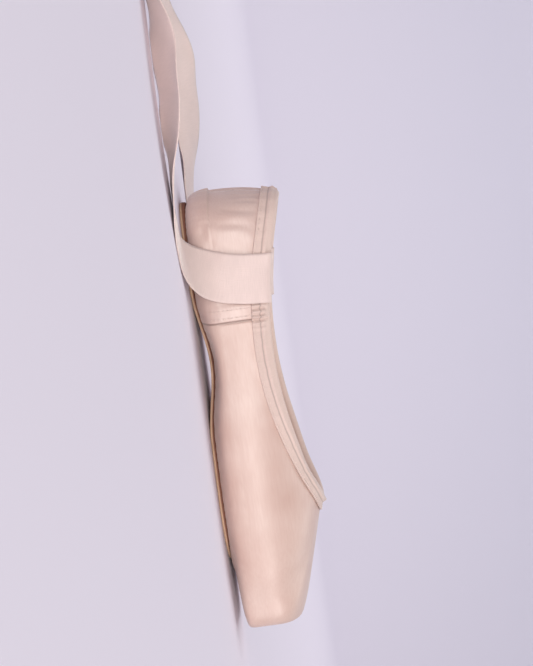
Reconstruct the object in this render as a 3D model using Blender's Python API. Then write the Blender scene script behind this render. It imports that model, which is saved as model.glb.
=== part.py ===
"""A pointe shoe that stands empty on its sole. X runs from heel to toe, Y across and Z up, in metres.

The shoe is straight-lasted: its two sides are mirror images, and it fits either foot. Every curve that
goes round the shoe is a table whose rows run from the middle of the heel to the middle of the toe. The
rows are mirrored for the other side and joined by one smooth closed curve, so that row 4, for instance,
is the side seam on the outline, on the collar and on the sole alike.
"""

import math

import bmesh
import bpy
import numpy as np

# Sizes of the upper, outside
shoe_length = 0.225
ball_width = 0.079
waist_width = 0.069
heel_width = 0.061
platform_width = 0.046
platform_height = 0.029
platform_lift = 0.004
widest_height = 0.015
vamp_length = 0.061
throat_height = 0.052
side_height = 0.037
heel_height = 0.050
collar_draw_in = 0.0050

# Walls and seams of the upper
satin_wall = 0.0012
box_wall = 0.0022
box_starts_before_platform = 0.095
box_is_full_before_platform = 0.057
under_boxiness = 3.2
side_seam_width = 0.006
side_seam_height = 0.0006
back_seam_width = 0.003
back_seam_height = 0.0008
seam_slope = 0.0006

# The seams run out between the widest line, level 1, and this level, before the leather begins
seams_end_at_level = 1.4

# Outsole
sole_thickness = 0.003
sole_setback = 0.034
sole_heel_inset = 0.0035
sole_ball_width = 0.056
sole_waist_width = 0.027
sole_heel_width = 0.041
sole_edge_round = 0.0005
arch_height = 0.0045
sole_overlap = 0.006

# Insole, which reaches out to this level of the upper's form
insole_thickness = 0.002
insole_reach = 1.5

# Binding
binding_width = 0.008
binding_thickness = 0.0008

# Drawstring
string_diameter = 0.0018
knot_diameter = 0.0042
knot_share_of_half_length = 0.11

# Ribbons
ribbon_width = 0.025
ribbon_thickness = 0.0006

# Clearances between pieces that touch on the real shoe
gap = 0.0003
binding_gap = 0.0004

# How finely the surfaces are divided
steps_between_rows = 4
steps_up_the_wall = 9
steps_underneath = 5
steps_down_the_tape = 40

# The least share of a step between an evenly spread column and a seam
least_step_to_a_seam = 0.3

# An edge sharper than this, in degrees, is shaded as a crease
sharp_edge = 40

heel_x = -shoe_length / 2
platform_x = shoe_length / 2
throat_x = platform_x - vamp_length
sole_rear_x = heel_x + sole_heel_inset
sole_front_x = platform_x - sole_setback
platform_top = platform_lift + platform_height
platform_middle = platform_lift + platform_height / 2

side_seam_row = 4
last_row = 12

# Widest line of the upper seen from above: share of the length, then half width
outline_rows = (
    (0.000, 0.000 * heel_width),
    (0.015, 0.240 * heel_width),
    (0.068, 0.430 * heel_width),
    (0.160, 0.495 * heel_width),
    (0.277, 0.470 * waist_width),
    (0.400, 0.500 * waist_width),
    (0.524, 0.480 * ball_width),
    (0.640, 0.500 * ball_width),
    (0.755, 0.496 * ball_width),
    (0.862, 0.446 * ball_width),
    (0.943, 0.622 * platform_width),
    (0.996, 0.490 * platform_width),
    (1.030, 0.000 * platform_width),
)

# Height of the widest line, height of the roof over it, boxiness of the section, and the angle in
# degrees at which the collar cuts the section's arch
section_rows = (
    (1.05 * widest_height, 1.000 * heel_height, 2.2, 27),
    (1.05 * widest_height, 0.985 * heel_height, 2.2, 27),
    (1.00 * widest_height, 0.930 * heel_height, 2.2, 27),
    (1.00 * widest_height, 1.120 * side_height, 2.2, 26),
    (1.00 * widest_height, 1.020 * side_height, 2.2, 26),
    (0.97 * widest_height, 1.000 * side_height, 2.2, 27),
    (0.95 * widest_height, 1.060 * side_height, 2.2, 33),
    (0.93 * widest_height, 1.160 * side_height, 2.25, 44),
    (0.93 * widest_height, 0.890 * throat_height, 2.4, 58),
    (0.98 * widest_height, 1.290 * platform_top, 2.8, 72),
    (0.78 * platform_middle, 1.090 * platform_top, 3.4, 82),
    (0.80 * platform_middle, 0.985 * platform_top, 5.2, 88),
    (0.80 * platform_middle, 1.010 * platform_top, 7.0, 90),
)

# Collar edge: share of the way from the heel to the throat, half width, and height
collar_rows = (
    (0.000, 0.000 * heel_width, 1.000 * heel_height),
    (0.014, 0.185 * heel_width, 0.985 * heel_height),
    (0.080, 0.355 * heel_width, 0.930 * heel_height),
    (0.208, 0.440 * heel_width, 1.120 * side_height),
    (0.362, 0.425 * waist_width, 1.020 * side_height),
    (0.522, 0.455 * waist_width, 1.000 * side_height),
    (0.665, 0.405 * ball_width, 1.060 * side_height),
    (0.787, 0.365 * ball_width, 1.160 * side_height),
    (0.882, 0.285 * ball_width, 0.890 * throat_height),
    (0.945, 0.190 * ball_width, 0.955 * throat_height),
    (0.980, 0.110 * ball_width, 0.988 * throat_height),
    (0.996, 0.050 * ball_width, 0.999 * throat_height),
    (1.000, 0.000 * ball_width, 1.000 * throat_height),
)

# Outsole: share of its own length, then half width
sole_rows = (
    (0.000, 0.000 * sole_heel_width),
    (0.012, 0.245 * sole_heel_width),
    (0.075, 0.430 * sole_heel_width),
    (0.185, 0.500 * sole_heel_width),
    (0.315, 0.570 * sole_waist_width),
    (0.440, 0.490 * sole_waist_width),
    (0.570, 0.320 * sole_ball_width),
    (0.700, 0.440 * sole_ball_width),
    (0.820, 0.500 * sole_ball_width),
    (0.915, 0.440 * sole_ball_width),
    (0.970, 0.300 * sole_ball_width),
    (0.995, 0.135 * sole_ball_width),
    (1.000, 0.000 * sole_ball_width),
)

# Where the sole leaves the floor and meets it again, as shares of the shoe's length
heel_flat_end = 0.22
ball_flat_start = 0.56
ball_flat_end = 0.74

# Ribbon on the +Y side, in metres: its middle line from the seam inside the collar, over the binding
# and down the quarter to the floor, then along the floor; and the way across the ribbon at each point
ribbon_route = (
    ((-0.0660, 0.0291, 0.0200), (1.00, 0.09, -0.17)),
    ((-0.0660, 0.0283, 0.0255), (1.00, 0.09, -0.17)),
    ((-0.0660, 0.0266, 0.0310), (1.00, 0.10, -0.17)),
    ((-0.0660, 0.0254, 0.0362), (1.00, 0.11, -0.17)),
    ((-0.0660, 0.0246, 0.0400), (1.00, 0.11, -0.17)),
    ((-0.0660, 0.0252, 0.0416), (1.00, 0.11, -0.17)),
    ((-0.0660, 0.0272, 0.0421), (1.00, 0.11, -0.17)),
    ((-0.0660, 0.0291, 0.0415), (1.00, 0.11, -0.17)),
    ((-0.0661, 0.0301, 0.0397), (1.00, 0.11, -0.15)),
    ((-0.0664, 0.0309, 0.0360), (1.00, 0.10, -0.10)),
    ((-0.0670, 0.0320, 0.0300), (1.00, 0.10, -0.02)),
    ((-0.0682, 0.0330, 0.0230), (1.00, 0.10, 0.08)),
    ((-0.0702, 0.0341, 0.0160), (1.00, 0.12, 0.14)),
    ((-0.0737, 0.0366, 0.0090), (1.00, 0.25, 0.12)),
    ((-0.0782, 0.0420, 0.0036), (1.00, 0.45, 0.06)),
    ((-0.0860, 0.0500, 0.0006), (0.80, 0.75, 0.02)),
    ((-0.0990, 0.0580, 0.0006), (0.50, 0.90, 0.00)),
    ((-0.1160, 0.0640, 0.0006), (0.28, 1.00, 0.10)),
    ((-0.1360, 0.0670, 0.0006), (0.08, 1.00, 0.30)),
    ((-0.1580, 0.0660, 0.0006), (-0.16, 1.00, 0.55)),
    ((-0.1800, 0.0610, 0.0006), (-0.26, 1.00, 0.65)),
    ((-0.2010, 0.0550, 0.0006), (-0.24, 1.00, 0.45)),
    ((-0.2220, 0.0510, 0.0006), (-0.12, 1.00, 0.15)),
    ((-0.2440, 0.0500, 0.0006), (0.04, 1.00, -0.15)),
    ((-0.2660, 0.0530, 0.0006), (0.22, 1.00, -0.45)),
    ((-0.2870, 0.0590, 0.0006), (0.30, 1.00, -0.60)),
    ((-0.3080, 0.0650, 0.0006), (0.24, 1.00, -0.40)),
    ((-0.3290, 0.0690, 0.0006), (0.12, 1.00, -0.10)),
    ((-0.3500, 0.0700, 0.0006), (0.00, 1.00, 0.00)),
)
ribbon_points = 60

# Drawstring at the throat: one end, the knot against the binding, and the other end
string_route = (
    (0.0462, -0.0052, 0.0330),
    (0.0463, -0.0050, 0.0370),
    (0.0465, -0.0045, 0.0410),
    (0.0469, -0.0034, 0.0450),
    (0.0475, -0.0014, 0.0482),
    (0.0477, 0.0000, 0.0487),
    (0.0475, 0.0014, 0.0482),
    (0.0468, 0.0036, 0.0448),
    (0.0463, 0.0048, 0.0405),
    (0.0460, 0.0054, 0.0360),
)
string_points = 26


def clear_scene():
    for item in list(bpy.data.objects):
        bpy.data.objects.remove(item, do_unlink=True)


def material(name, red, green, blue, roughness):
    """A Principled BSDF in one colour, given as linear light."""
    made = bpy.data.materials.new(name)
    made.use_nodes = True
    shader = made.node_tree.nodes["Principled BSDF"]
    shader.inputs["Base Color"].default_value = (red, green, blue, 1)
    shader.inputs["Roughness"].default_value = roughness
    made.diffuse_color = (red, green, blue, 1)
    return made


def smooth_loop(rows, mirrored, places):
    """The closed cubic curve through the rows and their mirror images, read at the given places.

    Place 0 is the first row and place last_row the last. The curve's slope and bend run on through
    every row. A value with -1 in mirrored changes its sign on the other side.
    """
    rows = np.array(rows, float)
    loop = np.vstack([rows, rows[-2:0:-1] * mirrored])
    count = len(loop)
    pull = 4 * np.eye(count) + np.roll(np.eye(count), 1, 0) + np.roll(np.eye(count), -1, 0)
    bend = np.linalg.solve(pull, 6 * (np.roll(loop, 1, 0) - 2 * loop + np.roll(loop, -1, 0)))
    whole = np.floor(places).astype(int)
    part = (places - whole)[:, None]
    here, there = whole % count, (whole + 1) % count
    straight = loop[here] * (1 - part) + loop[there] * part
    bow_here = ((1 - part) ** 3 - (1 - part)) * bend[here] / 6
    bow_there = (part**3 - part) * bend[there] / 6
    return straight + bow_here + bow_there


def smooth_path(rows, count):
    """The natural cubic curve through the rows, read at count evenly spaced places."""
    rows = np.array(rows, float)
    last = len(rows) - 1
    pull = np.eye(last + 1)
    target = np.zeros_like(rows)
    for i in range(1, last):
        pull[i, i - 1 : i + 2] = (1, 4, 1)
        target[i] = 6 * (rows[i - 1] - 2 * rows[i] + rows[i + 1])
    bend = np.linalg.solve(pull, target)
    places = np.linspace(0, last, count)
    here = np.minimum(np.floor(places).astype(int), last - 1)
    part = (places - here)[:, None]
    straight = rows[here] * (1 - part) + rows[here + 1] * part
    bow_here = ((1 - part) ** 3 - (1 - part)) * bend[here] / 6
    bow_there = (part**3 - part) * bend[here + 1] / 6
    return straight + bow_here + bow_there


def ease(value, start, end):
    """0 before start, 1 after end, with a level run at both."""
    share = np.clip((value - start) / (end - start), 0, 1)
    return share * share * (3 - 2 * share)


def rise(x):
    """How far the sole's underside is off the floor: an arch at the waist and a spring at the toe."""
    share = (x - heel_x) / shoe_length
    waist = np.clip((share - heel_flat_end) / (ball_flat_start - heel_flat_end), 0, 1)
    toe = np.clip((share - ball_flat_end) / (1 - ball_flat_end), 0, None)
    spring = platform_lift - sole_thickness - gap
    return arch_height * np.sin(math.pi * waist) ** 2 + spring * toe**2


def wall_at(x):
    """Thickness of the upper: thin satin and lining at the quarters, and layers of card at the box."""
    before = platform_x - x
    stiff = ease(before, box_starts_before_platform, box_is_full_before_platform)
    return satin_wall + (box_wall - satin_wall) * stiff


def row_spacing(row):
    """Distance along the outline from one row to the next, for widths given in metres."""
    step = 0.05
    near = smooth_loop(outline_points(), (1, -1), np.array([row - step, row + step]))
    return np.linalg.norm(near[1] - near[0]) / (2 * step)


def outline_points():
    return [(heel_x + share * shoe_length, half) for share, half in outline_rows]


def collar_points():
    first = heel_x + collar_draw_in
    return [(first + share * (throat_x - first), half, height) for share, half, height in collar_rows]


def sole_points():
    return [(sole_rear_x + share * (sole_front_x - sole_rear_x), half) for share, half in sole_rows]


def seam_places(row, width):
    """Places of the two edges of a raised seam and of the feet of its slopes."""
    half = width / 2 / row_spacing(row)
    slope = seam_slope / row_spacing(row)
    return (row - half - slope, row - half, row + half, row + half + slope)


def columns():
    """Places round the shoe: an even spread, with those next to a seam moved onto its edges."""
    side = seam_places(side_seam_row, side_seam_width)
    back = seam_places(0, back_seam_width)[2:]
    even = np.arange(0, last_row + 0.001, 1 / steps_between_rows)
    clear = least_step_to_a_seam / steps_between_rows
    away = (even > back[1] + clear) & ((even < side[0] - clear) | (even > side[3] + clear))
    half = np.concatenate([[0], back, side, even[away]])
    half.sort()
    return np.concatenate([half, 2 * last_row - half[-2:0:-1]])


def arch(angle, boxiness):
    """A quarter of a superellipse by its polar angle: how far out and how far up, each 0 to 1."""
    out, up = np.cos(angle), np.sin(angle)
    size = (np.abs(out) ** boxiness + np.abs(up) ** boxiness) ** (1 / boxiness)
    return out / size, up / size


def inwards(points, distance):
    """A closed plan outline moved towards its inside by a distance."""
    along = np.roll(points, -1, 0) - np.roll(points, 1, 0)
    along /= np.linalg.norm(along, axis=1)[:, None]
    return points + distance * np.stack([along[:, 1], -along[:, 0]], axis=1)


def opening_edge(places):
    """The edge of the opening under the foot: the outsole's outline, moved in by what it covers."""
    return inwards(smooth_loop(sole_points(), (1, -1), places), sole_overlap)


def form(places, levels):
    """Points on the upper's outer face, without its seams, as an array [place, level, axis].

    Level 0 is the collar edge, 1 the widest line and 2 the edge of the opening under the foot. From
    collar to widest line a column follows a superellipse arch that the collar cuts off, under a roof
    that slopes from the collar to the roof height over the outline. Below, it follows a boxier arch
    down to the top of the outsole. The platform is where the length limit cuts the form off flat.
    """
    outline = smooth_loop(outline_points(), (1, -1), places)[:, None, :]
    collar = smooth_loop(collar_points(), (1, -1, 1), places)[:, None, :]
    under = opening_edge(places)[:, None, :]
    section = smooth_loop(section_rows, (1, 1, 1, 1), places)[:, None, :]
    widest, roof_out, boxiness, cut = (section[..., i] for i in range(4))
    cut = np.radians(np.minimum(cut, 90))
    level = np.array(levels, float)[None, :]
    above = np.clip(1 - level, 0, 1)
    out, up = arch(cut * above, boxiness)
    out_cut, up_cut = arch(cut, boxiness)
    reach = np.clip((out - out_cut) / (1 - out_cut), 0, 1)
    roof = collar[..., 2] + (roof_out - collar[..., 2]) * reach
    top_plan = collar[..., :2] + (outline - collar[..., :2]) * reach[..., None]
    top_height = widest + (roof - widest) * up / up_cut
    out, up = arch(np.radians(90) * np.clip(level - 1, 0, 1), under_boxiness)
    low_plan = under + (outline - under) * out[..., None]
    low_plan[..., 0] = np.minimum(low_plan[..., 0], platform_x)
    bottom = rise(low_plan[..., 0]) + sole_thickness + gap
    low_height = widest + (bottom - widest) * up
    is_low = level > 1
    plan = np.where(is_low[..., None], low_plan, top_plan)
    plan[..., 0] = np.minimum(plan[..., 0], platform_x)
    height = np.where(is_low, low_height, top_height)
    return np.concatenate([plan, height[..., None]], axis=2)


def outward(points):
    """Unit normals of a form grid, whose places go round and whose levels go down."""
    round_it = np.roll(points, -1, 0) - np.roll(points, 1, 0)
    down = np.gradient(points, axis=1)
    across = np.cross(round_it, down)
    return across / np.linalg.norm(across, axis=2)[..., None]


def seam_height(places):
    """How far the seams stand out of the outer face at each place round the shoe."""
    side = np.minimum(places, 2 * last_row - places)
    lap = np.interp(side, seam_places(side_seam_row, side_seam_width), (0, 1, 1, 0))
    ridge = np.interp(side, seam_places(0, back_seam_width)[2:], (1, 0))
    return side_seam_height * lap + back_seam_height * ridge


def mesh_object(name, points, faces, finish):
    """An object from points and faces, with coinciding points merged and round faces shaded smooth."""
    mesh = bpy.data.meshes.new(name)
    mesh.from_pydata(points.tolist(), [], faces.tolist())
    work = bmesh.new()
    work.from_mesh(mesh)
    bmesh.ops.remove_doubles(work, verts=work.verts, dist=1e-6)
    bmesh.ops.dissolve_degenerate(work, dist=1e-7, edges=work.edges)
    work.to_mesh(mesh)
    work.free()
    mesh.shade_smooth()
    mesh.set_sharp_from_angle(angle=math.radians(sharp_edge))
    mesh.materials.append(finish)
    made = bpy.data.objects.new(name, mesh)
    bpy.context.scene.collection.objects.link(made)
    return made


def band(name, grid, finish, closed):
    """A surface that goes round the shoe. Its profile is closed, or runs from top to bottom of a plate."""
    round_count, profile_count = grid.shape[:2]
    number = np.arange(round_count * profile_count).reshape(round_count, profile_count)
    after = np.roll(number, -1, 0)
    if closed:
        here, beside = (number, np.roll(number, -1, 1))
        there, across = (after, np.roll(after, -1, 1))
    else:
        here, beside = (number[:, :-1], number[:, 1:])
        there, across = (after[:, :-1], after[:, 1:])
    faces = np.stack([here, there, across, beside], axis=2).reshape(-1, 4)
    return mesh_object(name, grid.reshape(-1, 3), faces, finish)


def wall_levels():
    above = np.linspace(0, 1, steps_up_the_wall + 1)
    below = np.linspace(1, 2, steps_underneath + 1)[1:]
    return np.concatenate([above, below])


def make_upper(places, finish):
    """One hollow shell: the outer face, the inner face and the rims that join them. Its seams run out
    under the foot, where the leather is laid on."""
    base = form(places, wall_levels())
    normal = outward(base)
    run_out = 1 - ease(wall_levels(), 1, seams_end_at_level)
    outer = base + normal * (seam_height(places)[:, None] * run_out)[..., None]
    inner = base - normal * wall_at(base[..., :1])
    return band("upper", np.concatenate([outer, inner[:, ::-1]], axis=1), finish, closed=True)


def spine(places):
    """The line on the ground under the middle of the shoe that the plates are spread from."""
    sole = smooth_loop(sole_points(), (1, -1), places)
    x = np.clip(sole[:, 0], sole_rear_x + sole_heel_width / 2, sole_front_x - sole_ball_width / 3)
    return np.stack([x, np.zeros_like(x)], axis=1)


def make_outsole(places, finish):
    """Skived leather, flat on the floor at heel and ball and raised at the waist."""
    edge = smooth_loop(sole_points(), (1, -1), places)
    inset = inwards(edge, sole_edge_round)
    middle = spine(places)
    plans = (middle, inset, edge, edge, inset, middle)
    top = sole_thickness
    heights = (top, top, top - sole_edge_round, sole_edge_round, 0, 0)
    loops = [
        np.column_stack([plan, rise(plan[:, 0]) + height])
        for plan, height in zip(plans, heights, strict=True)
    ]
    return band("outsole", np.stack(loops, axis=1), finish, closed=False)


def make_insole(places, finish):
    """A thin board on the turned-in edge of the upper. It follows the inner face and closes the opening."""
    levels = wall_levels()
    base = form(places, levels)
    under = base - outward(base) * (wall_at(base[..., :1]) + gap)
    under = under[:, levels > insole_reach]
    middle = spine(places)
    floor = rise(middle[:, 0]) + sole_thickness + gap + wall_at(middle[:, 0]) + gap
    low = np.concatenate([under, np.column_stack([middle, floor])[:, None]], axis=1)
    high = low + (0, 0, insole_thickness)
    return band("insole", np.concatenate([high[:, ::-1], low], axis=1), finish, closed=False)


def make_binding(places, finish):
    """A tape folded over the collar edge, equally deep outside and inside."""
    wall = form(places, np.linspace(0, 1, steps_down_the_tape + 1))
    steps = np.linalg.norm(np.diff(wall, axis=1), axis=2)
    length = np.concatenate([np.zeros((len(places), 1)), np.cumsum(steps, axis=1)], axis=1)
    wanted = (0, binding_width)
    base = np.array(
        [
            [np.interp(wanted, run, column[:, axis]) for axis in range(3)]
            for run, column in zip(length, wall, strict=True)
        ]
    ).transpose(0, 2, 1)
    normal = outward(base)
    raised = seam_height(places)[:, None, None]
    thick = wall_at(base[..., :1])
    rim_up = base[:, 0] - base[:, 1]
    rim_up /= np.linalg.norm(rim_up, axis=1)[:, None]
    skin, hold = binding_gap + binding_thickness, binding_gap
    crown = base[:, 0] - normal[:, 0] * thick[:, 0] / 2
    outside = base + normal * (raised + skin)
    inside = base - normal * (thick + skin)
    outside[:, 0] += rim_up * hold
    inside[:, 0] += rim_up * hold
    lining_out = base + normal * (raised + hold)
    lining_in = base - normal * (thick + hold)
    roof_in = (crown + rim_up * hold)[:, None]
    roof_out = (crown + rim_up * skin)[:, None]
    parts = [outside, lining_out[:, ::-1], roof_in, lining_in, inside[:, ::-1], roof_out]
    return band("binding", np.concatenate(parts, axis=1), finish, closed=True)


def make_ribbon(name, side, finish):
    """A flat strip along its route. It never dips under the floor, however it is tilted."""
    rows = [middle + across for middle, across in ribbon_route]
    path = smooth_path(rows, ribbon_points)
    middle, across = path[:, :3], path[:, 3:]
    along = np.gradient(middle, axis=0)
    along /= np.linalg.norm(along, axis=1)[:, None]
    across = across - along * np.sum(across * along, axis=1)[:, None]
    across /= np.linalg.norm(across, axis=1)[:, None]
    face = np.cross(along, across)
    half_width, half_thick = ribbon_width / 2, ribbon_thickness / 2
    lowest = half_width * np.abs(across[:, 2]) + half_thick * np.abs(face[:, 2])
    middle[:, 2] = np.maximum(middle[:, 2], lowest + gap / 2)
    corners = ((-1, -1), (1, -1), (1, 1), (-1, 1))
    loops = [middle + across * half_width * a + face * half_thick * b for a, b in corners]
    grid = np.stack(loops, axis=1) * (1, side, 1)
    count = len(grid)
    number = np.arange(count * 4).reshape(count, 4)
    beside = np.roll(number, -1, 1)
    here, there, ahead, across_ahead = number[:-1], beside[:-1], number[1:], beside[1:]
    under = [(here[:, k], there[:, k], across_ahead[:, k]) for k in (0, 1)]
    under += [(here[:, k], across_ahead[:, k], ahead[:, k]) for k in (0, 1)]
    over = [(here[:, k], there[:, k], ahead[:, k]) for k in (2, 3)]
    over += [(there[:, k], across_ahead[:, k], ahead[:, k]) for k in (2, 3)]
    sides = np.concatenate([np.stack(corner, axis=1) for corner in under + over])
    first, last = number[0], number[-1]
    ends = np.array([first[[2, 1, 0]], first[[3, 2, 0]], last[[0, 1, 2]], last[[0, 2, 3]]])
    faces = np.concatenate([sides, ends])
    if side < 0:
        faces = faces[:, ::-1]
    return mesh_object(name, grid.reshape(-1, 3), faces, finish)


def make_drawstring(finish):
    """The knotted ends of the cord that runs in the binding, tucked in behind the throat."""
    path = smooth_path(string_route, string_points)
    share = np.linspace(-1, 1, string_points)
    swell = 1 + (knot_diameter / string_diameter - 1) * np.exp(-((share / knot_share_of_half_length) ** 2))
    curve = bpy.data.curves.new("drawstring", "CURVE")
    curve.dimensions = "3D"
    curve.bevel_depth = string_diameter / 2
    curve.bevel_resolution = 2
    curve.use_fill_caps = True
    line = curve.splines.new("POLY")
    line.points.add(string_points - 1)
    for point, place, size in zip(line.points, path, swell, strict=True):
        point.co = (*place, 1)
        point.radius = size
    curve.materials.append(finish)
    made = bpy.data.objects.new("drawstring", curve)
    bpy.context.scene.collection.objects.link(made)
    return made


def main():
    clear_scene()
    satin = material("peach satin", 0.77, 0.54, 0.45, 0.42)
    leather = material("tan sole leather", 0.52, 0.34, 0.22, 0.6)
    canvas = material("cotton canvas", 0.78, 0.70, 0.60, 0.85)
    tape = material("cotton binding tape", 0.79, 0.67, 0.60, 0.75)
    ribbon = material("matte ribbon", 0.81, 0.68, 0.62, 0.6)
    cord = material("cotton cord", 0.74, 0.62, 0.54, 0.85)
    places = columns()
    make_upper(places, satin)
    make_outsole(places, leather)
    make_insole(places, canvas)
    make_binding(places, tape)
    make_drawstring(cord)
    make_ribbon("ribbon_left", 1, ribbon)
    make_ribbon("ribbon_right", -1, ribbon)


main()
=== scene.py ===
"""A pointe shoe with its satin, leather, canvas, tape and ribbons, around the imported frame.

X runs from heel to toe, Y across and Z up, in metres. Every curve that goes round the shoe is a table
whose rows run from the middle of the heel (place 0) to the middle of the toe (place 12) and are mirrored
for the other side (places 12 to 24). Down the wall, level 0 is the collar edge, level 1 the widest line
and level 2 the edge of the opening under the foot.
"""

import math

import bmesh
import bpy
import numpy as np
from bpy.props import FloatProperty, FloatVectorProperty, PointerProperty
from bpy.types import Operator, Panel, PropertyGroup
from mathutils import Matrix, Vector


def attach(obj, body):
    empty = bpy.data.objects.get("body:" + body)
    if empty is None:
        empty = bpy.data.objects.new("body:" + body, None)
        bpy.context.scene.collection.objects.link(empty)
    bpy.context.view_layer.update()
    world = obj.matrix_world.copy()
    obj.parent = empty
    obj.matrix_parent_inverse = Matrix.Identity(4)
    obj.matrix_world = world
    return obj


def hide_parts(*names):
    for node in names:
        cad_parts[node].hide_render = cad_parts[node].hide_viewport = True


bl_info = {
    "name": "Pointe shoe",
    "version": (1, 0, 0),
    "blender": (4, 5, 0),
    "location": "3D View > Sidebar > Pointe shoe",
    "description": "Builds a satin pointe shoe with its sole, binding, seams and ribbons",
    "category": "Add Mesh",
}

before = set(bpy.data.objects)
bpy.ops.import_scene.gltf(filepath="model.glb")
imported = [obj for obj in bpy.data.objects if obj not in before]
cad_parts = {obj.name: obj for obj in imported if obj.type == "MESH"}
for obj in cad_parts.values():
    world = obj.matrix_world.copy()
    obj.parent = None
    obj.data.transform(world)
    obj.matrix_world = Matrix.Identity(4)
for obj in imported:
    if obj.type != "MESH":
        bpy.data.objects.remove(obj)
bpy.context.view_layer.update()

LAST = 12
SIDE_SEAM = 4

# Where the sole leaves the floor and meets it again, as shares of the shoe's length
HEEL_FLAT_END = 0.22
BALL_FLAT_START = 0.56
BALL_FLAT_END = 0.74

# Boxiness of the section below the widest line, along the foot and at the toe, and the places between
# which it grows
UNDER_BOXINESS = 3.2
TOE_BOXINESS = 6.5
TOE_PLACES = (8.6, 11.0)

# The softened corner of the platform, and how far behind the platform the wall begins to thicken and is
# full, both in metres
PLATFORM_EDGE = 0.0005
BOX_REAR = 0.095
BOX_STIFF = 0.057

# The lapped side seam: the crisp step at its front, the dip before it, the longer tail behind it, and the
# share of its height that stays behind the tail. The heel's seam: its ridge and the pull beside it.
LAP_STEP = 0.0006
LAP_DIP = 0.00035
LAP_TAIL = 0.003
LAP_REST = 0.35
HEEL_RIDGE = 0.0008
HEEL_PULL = 0.0003

# Where along X the satin turns from soft to stiff, then heights and wave lengths of its fine relief:
# gathers under the binding, soft cloth waves, the swell over the sole's edge and the pleats under it, the
# last two with what the toe adds
SOFT_TO_STIFF = (0.030, 0.075)
GATHER_HEIGHT = 0.00009
GATHER_WAVE = 0.0055
CLOTH_HEIGHT = 0.00010
CLOTH_WAVE = 0.022
SWELL_HEIGHT = 0.0011
SWELL_AT_TOE = 0.0004
PLEAT_HEIGHT = 0.0002
PLEAT_AT_TOE = 0.0006
PLEATS_PER_PLACE = 3.9

# The lining's folds and the tape behind the side seam, the sole's rounded corner and hand-cut edge, and
# the insole's waves and rounded edge
LINING_FOLDS = 0.00012
SEAM_TAPE = 0.0003
SOLE_CORNER = 0.0009
SOLE_WOBBLE = 0.00012
CANVAS_WAVES = 0.00018
CANVAS_EDGE_ROUND = 0.0004

# The binding: depth and height of the swelling over the drawstring, the pinch below it, the share that
# the knot adds, the lip at the lower edge, the ridges over the side seam, and small gathers
CORD_DEPTH = 0.0024
CORD_SWELL = 0.00085
CORD_PINCH = 0.00015
KNOT_SWELL = 0.9
TAPE_LIP = 0.00012
JOIN_HEIGHT = 0.0006
TAPE_GATHERS = 0.00010

# The ribbon's bow across its width, the waves of its edges and its wrinkles, how far off the floor it
# stays, and how far the studio's floor lies under it
RIBBON_BOW = 0.0011
RIBBON_WAVE = 0.0009
RIBBON_WRINKLE = 0.00022
OFF_FLOOR = 0.0001
FLOOR_DROP = 0.0001

# The camera's azimuth, elevation and roll in degrees, and its target and distance from it in metres
CAMERA_ANGLES = (-5, 2, 8)
CAMERA_TARGET = (-0.036, 0.0, 0.035)
CAMERA_DISTANCE = 0.96

# The +Y ribbon's middle line in metres, and the way across it at each point, as the frame has them
RIBBON_ROUTE = (
    ((-0.0660, 0.0291, 0.0200), (1.00, 0.09, -0.17)),
    ((-0.0660, 0.0283, 0.0255), (1.00, 0.09, -0.17)),
    ((-0.0660, 0.0266, 0.0310), (1.00, 0.10, -0.17)),
    ((-0.0660, 0.0254, 0.0362), (1.00, 0.11, -0.17)),
    ((-0.0660, 0.0246, 0.0400), (1.00, 0.11, -0.17)),
    ((-0.0660, 0.0252, 0.0416), (1.00, 0.11, -0.17)),
    ((-0.0660, 0.0272, 0.0421), (1.00, 0.11, -0.17)),
    ((-0.0660, 0.0291, 0.0415), (1.00, 0.11, -0.17)),
    ((-0.0661, 0.0301, 0.0397), (1.00, 0.11, -0.15)),
    ((-0.0664, 0.0309, 0.0360), (1.00, 0.10, -0.10)),
    ((-0.0670, 0.0320, 0.0300), (1.00, 0.10, -0.02)),
    ((-0.0682, 0.0330, 0.0230), (1.00, 0.10, 0.08)),
    ((-0.0702, 0.0341, 0.0160), (1.00, 0.12, 0.14)),
    ((-0.0737, 0.0366, 0.0090), (1.00, 0.25, 0.12)),
    ((-0.0782, 0.0420, 0.0036), (1.00, 0.45, 0.06)),
    ((-0.0860, 0.0500, 0.0006), (0.80, 0.75, 0.02)),
    ((-0.0990, 0.0580, 0.0006), (0.50, 0.90, 0.00)),
    ((-0.1160, 0.0640, 0.0006), (0.28, 1.00, 0.10)),
    ((-0.1360, 0.0670, 0.0006), (0.08, 1.00, 0.30)),
    ((-0.1580, 0.0660, 0.0006), (-0.16, 1.00, 0.55)),
    ((-0.1800, 0.0610, 0.0006), (-0.26, 1.00, 0.65)),
    ((-0.2010, 0.0550, 0.0006), (-0.24, 1.00, 0.45)),
    ((-0.2220, 0.0510, 0.0006), (-0.12, 1.00, 0.15)),
    ((-0.2440, 0.0500, 0.0006), (0.04, 1.00, -0.15)),
    ((-0.2660, 0.0530, 0.0006), (0.22, 1.00, -0.45)),
    ((-0.2870, 0.0590, 0.0006), (0.30, 1.00, -0.60)),
    ((-0.3080, 0.0650, 0.0006), (0.24, 1.00, -0.40)),
    ((-0.3290, 0.0690, 0.0006), (0.12, 1.00, -0.10)),
    ((-0.3500, 0.0700, 0.0006), (0.00, 1.00, 0.00)),
)

# The drawstring: one end, the knot against the binding at the throat, and the other end
STRING_ROUTE = (
    (0.0462, -0.0052, 0.0330),
    (0.0463, -0.0050, 0.0370),
    (0.0465, -0.0045, 0.0410),
    (0.0469, -0.0034, 0.0450),
    (0.0475, -0.0014, 0.0482),
    (0.0477, 0.0000, 0.0487),
    (0.0475, 0.0014, 0.0482),
    (0.0468, 0.0036, 0.0448),
    (0.0463, 0.0048, 0.0405),
    (0.0460, 0.0054, 0.0360),
)

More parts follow.
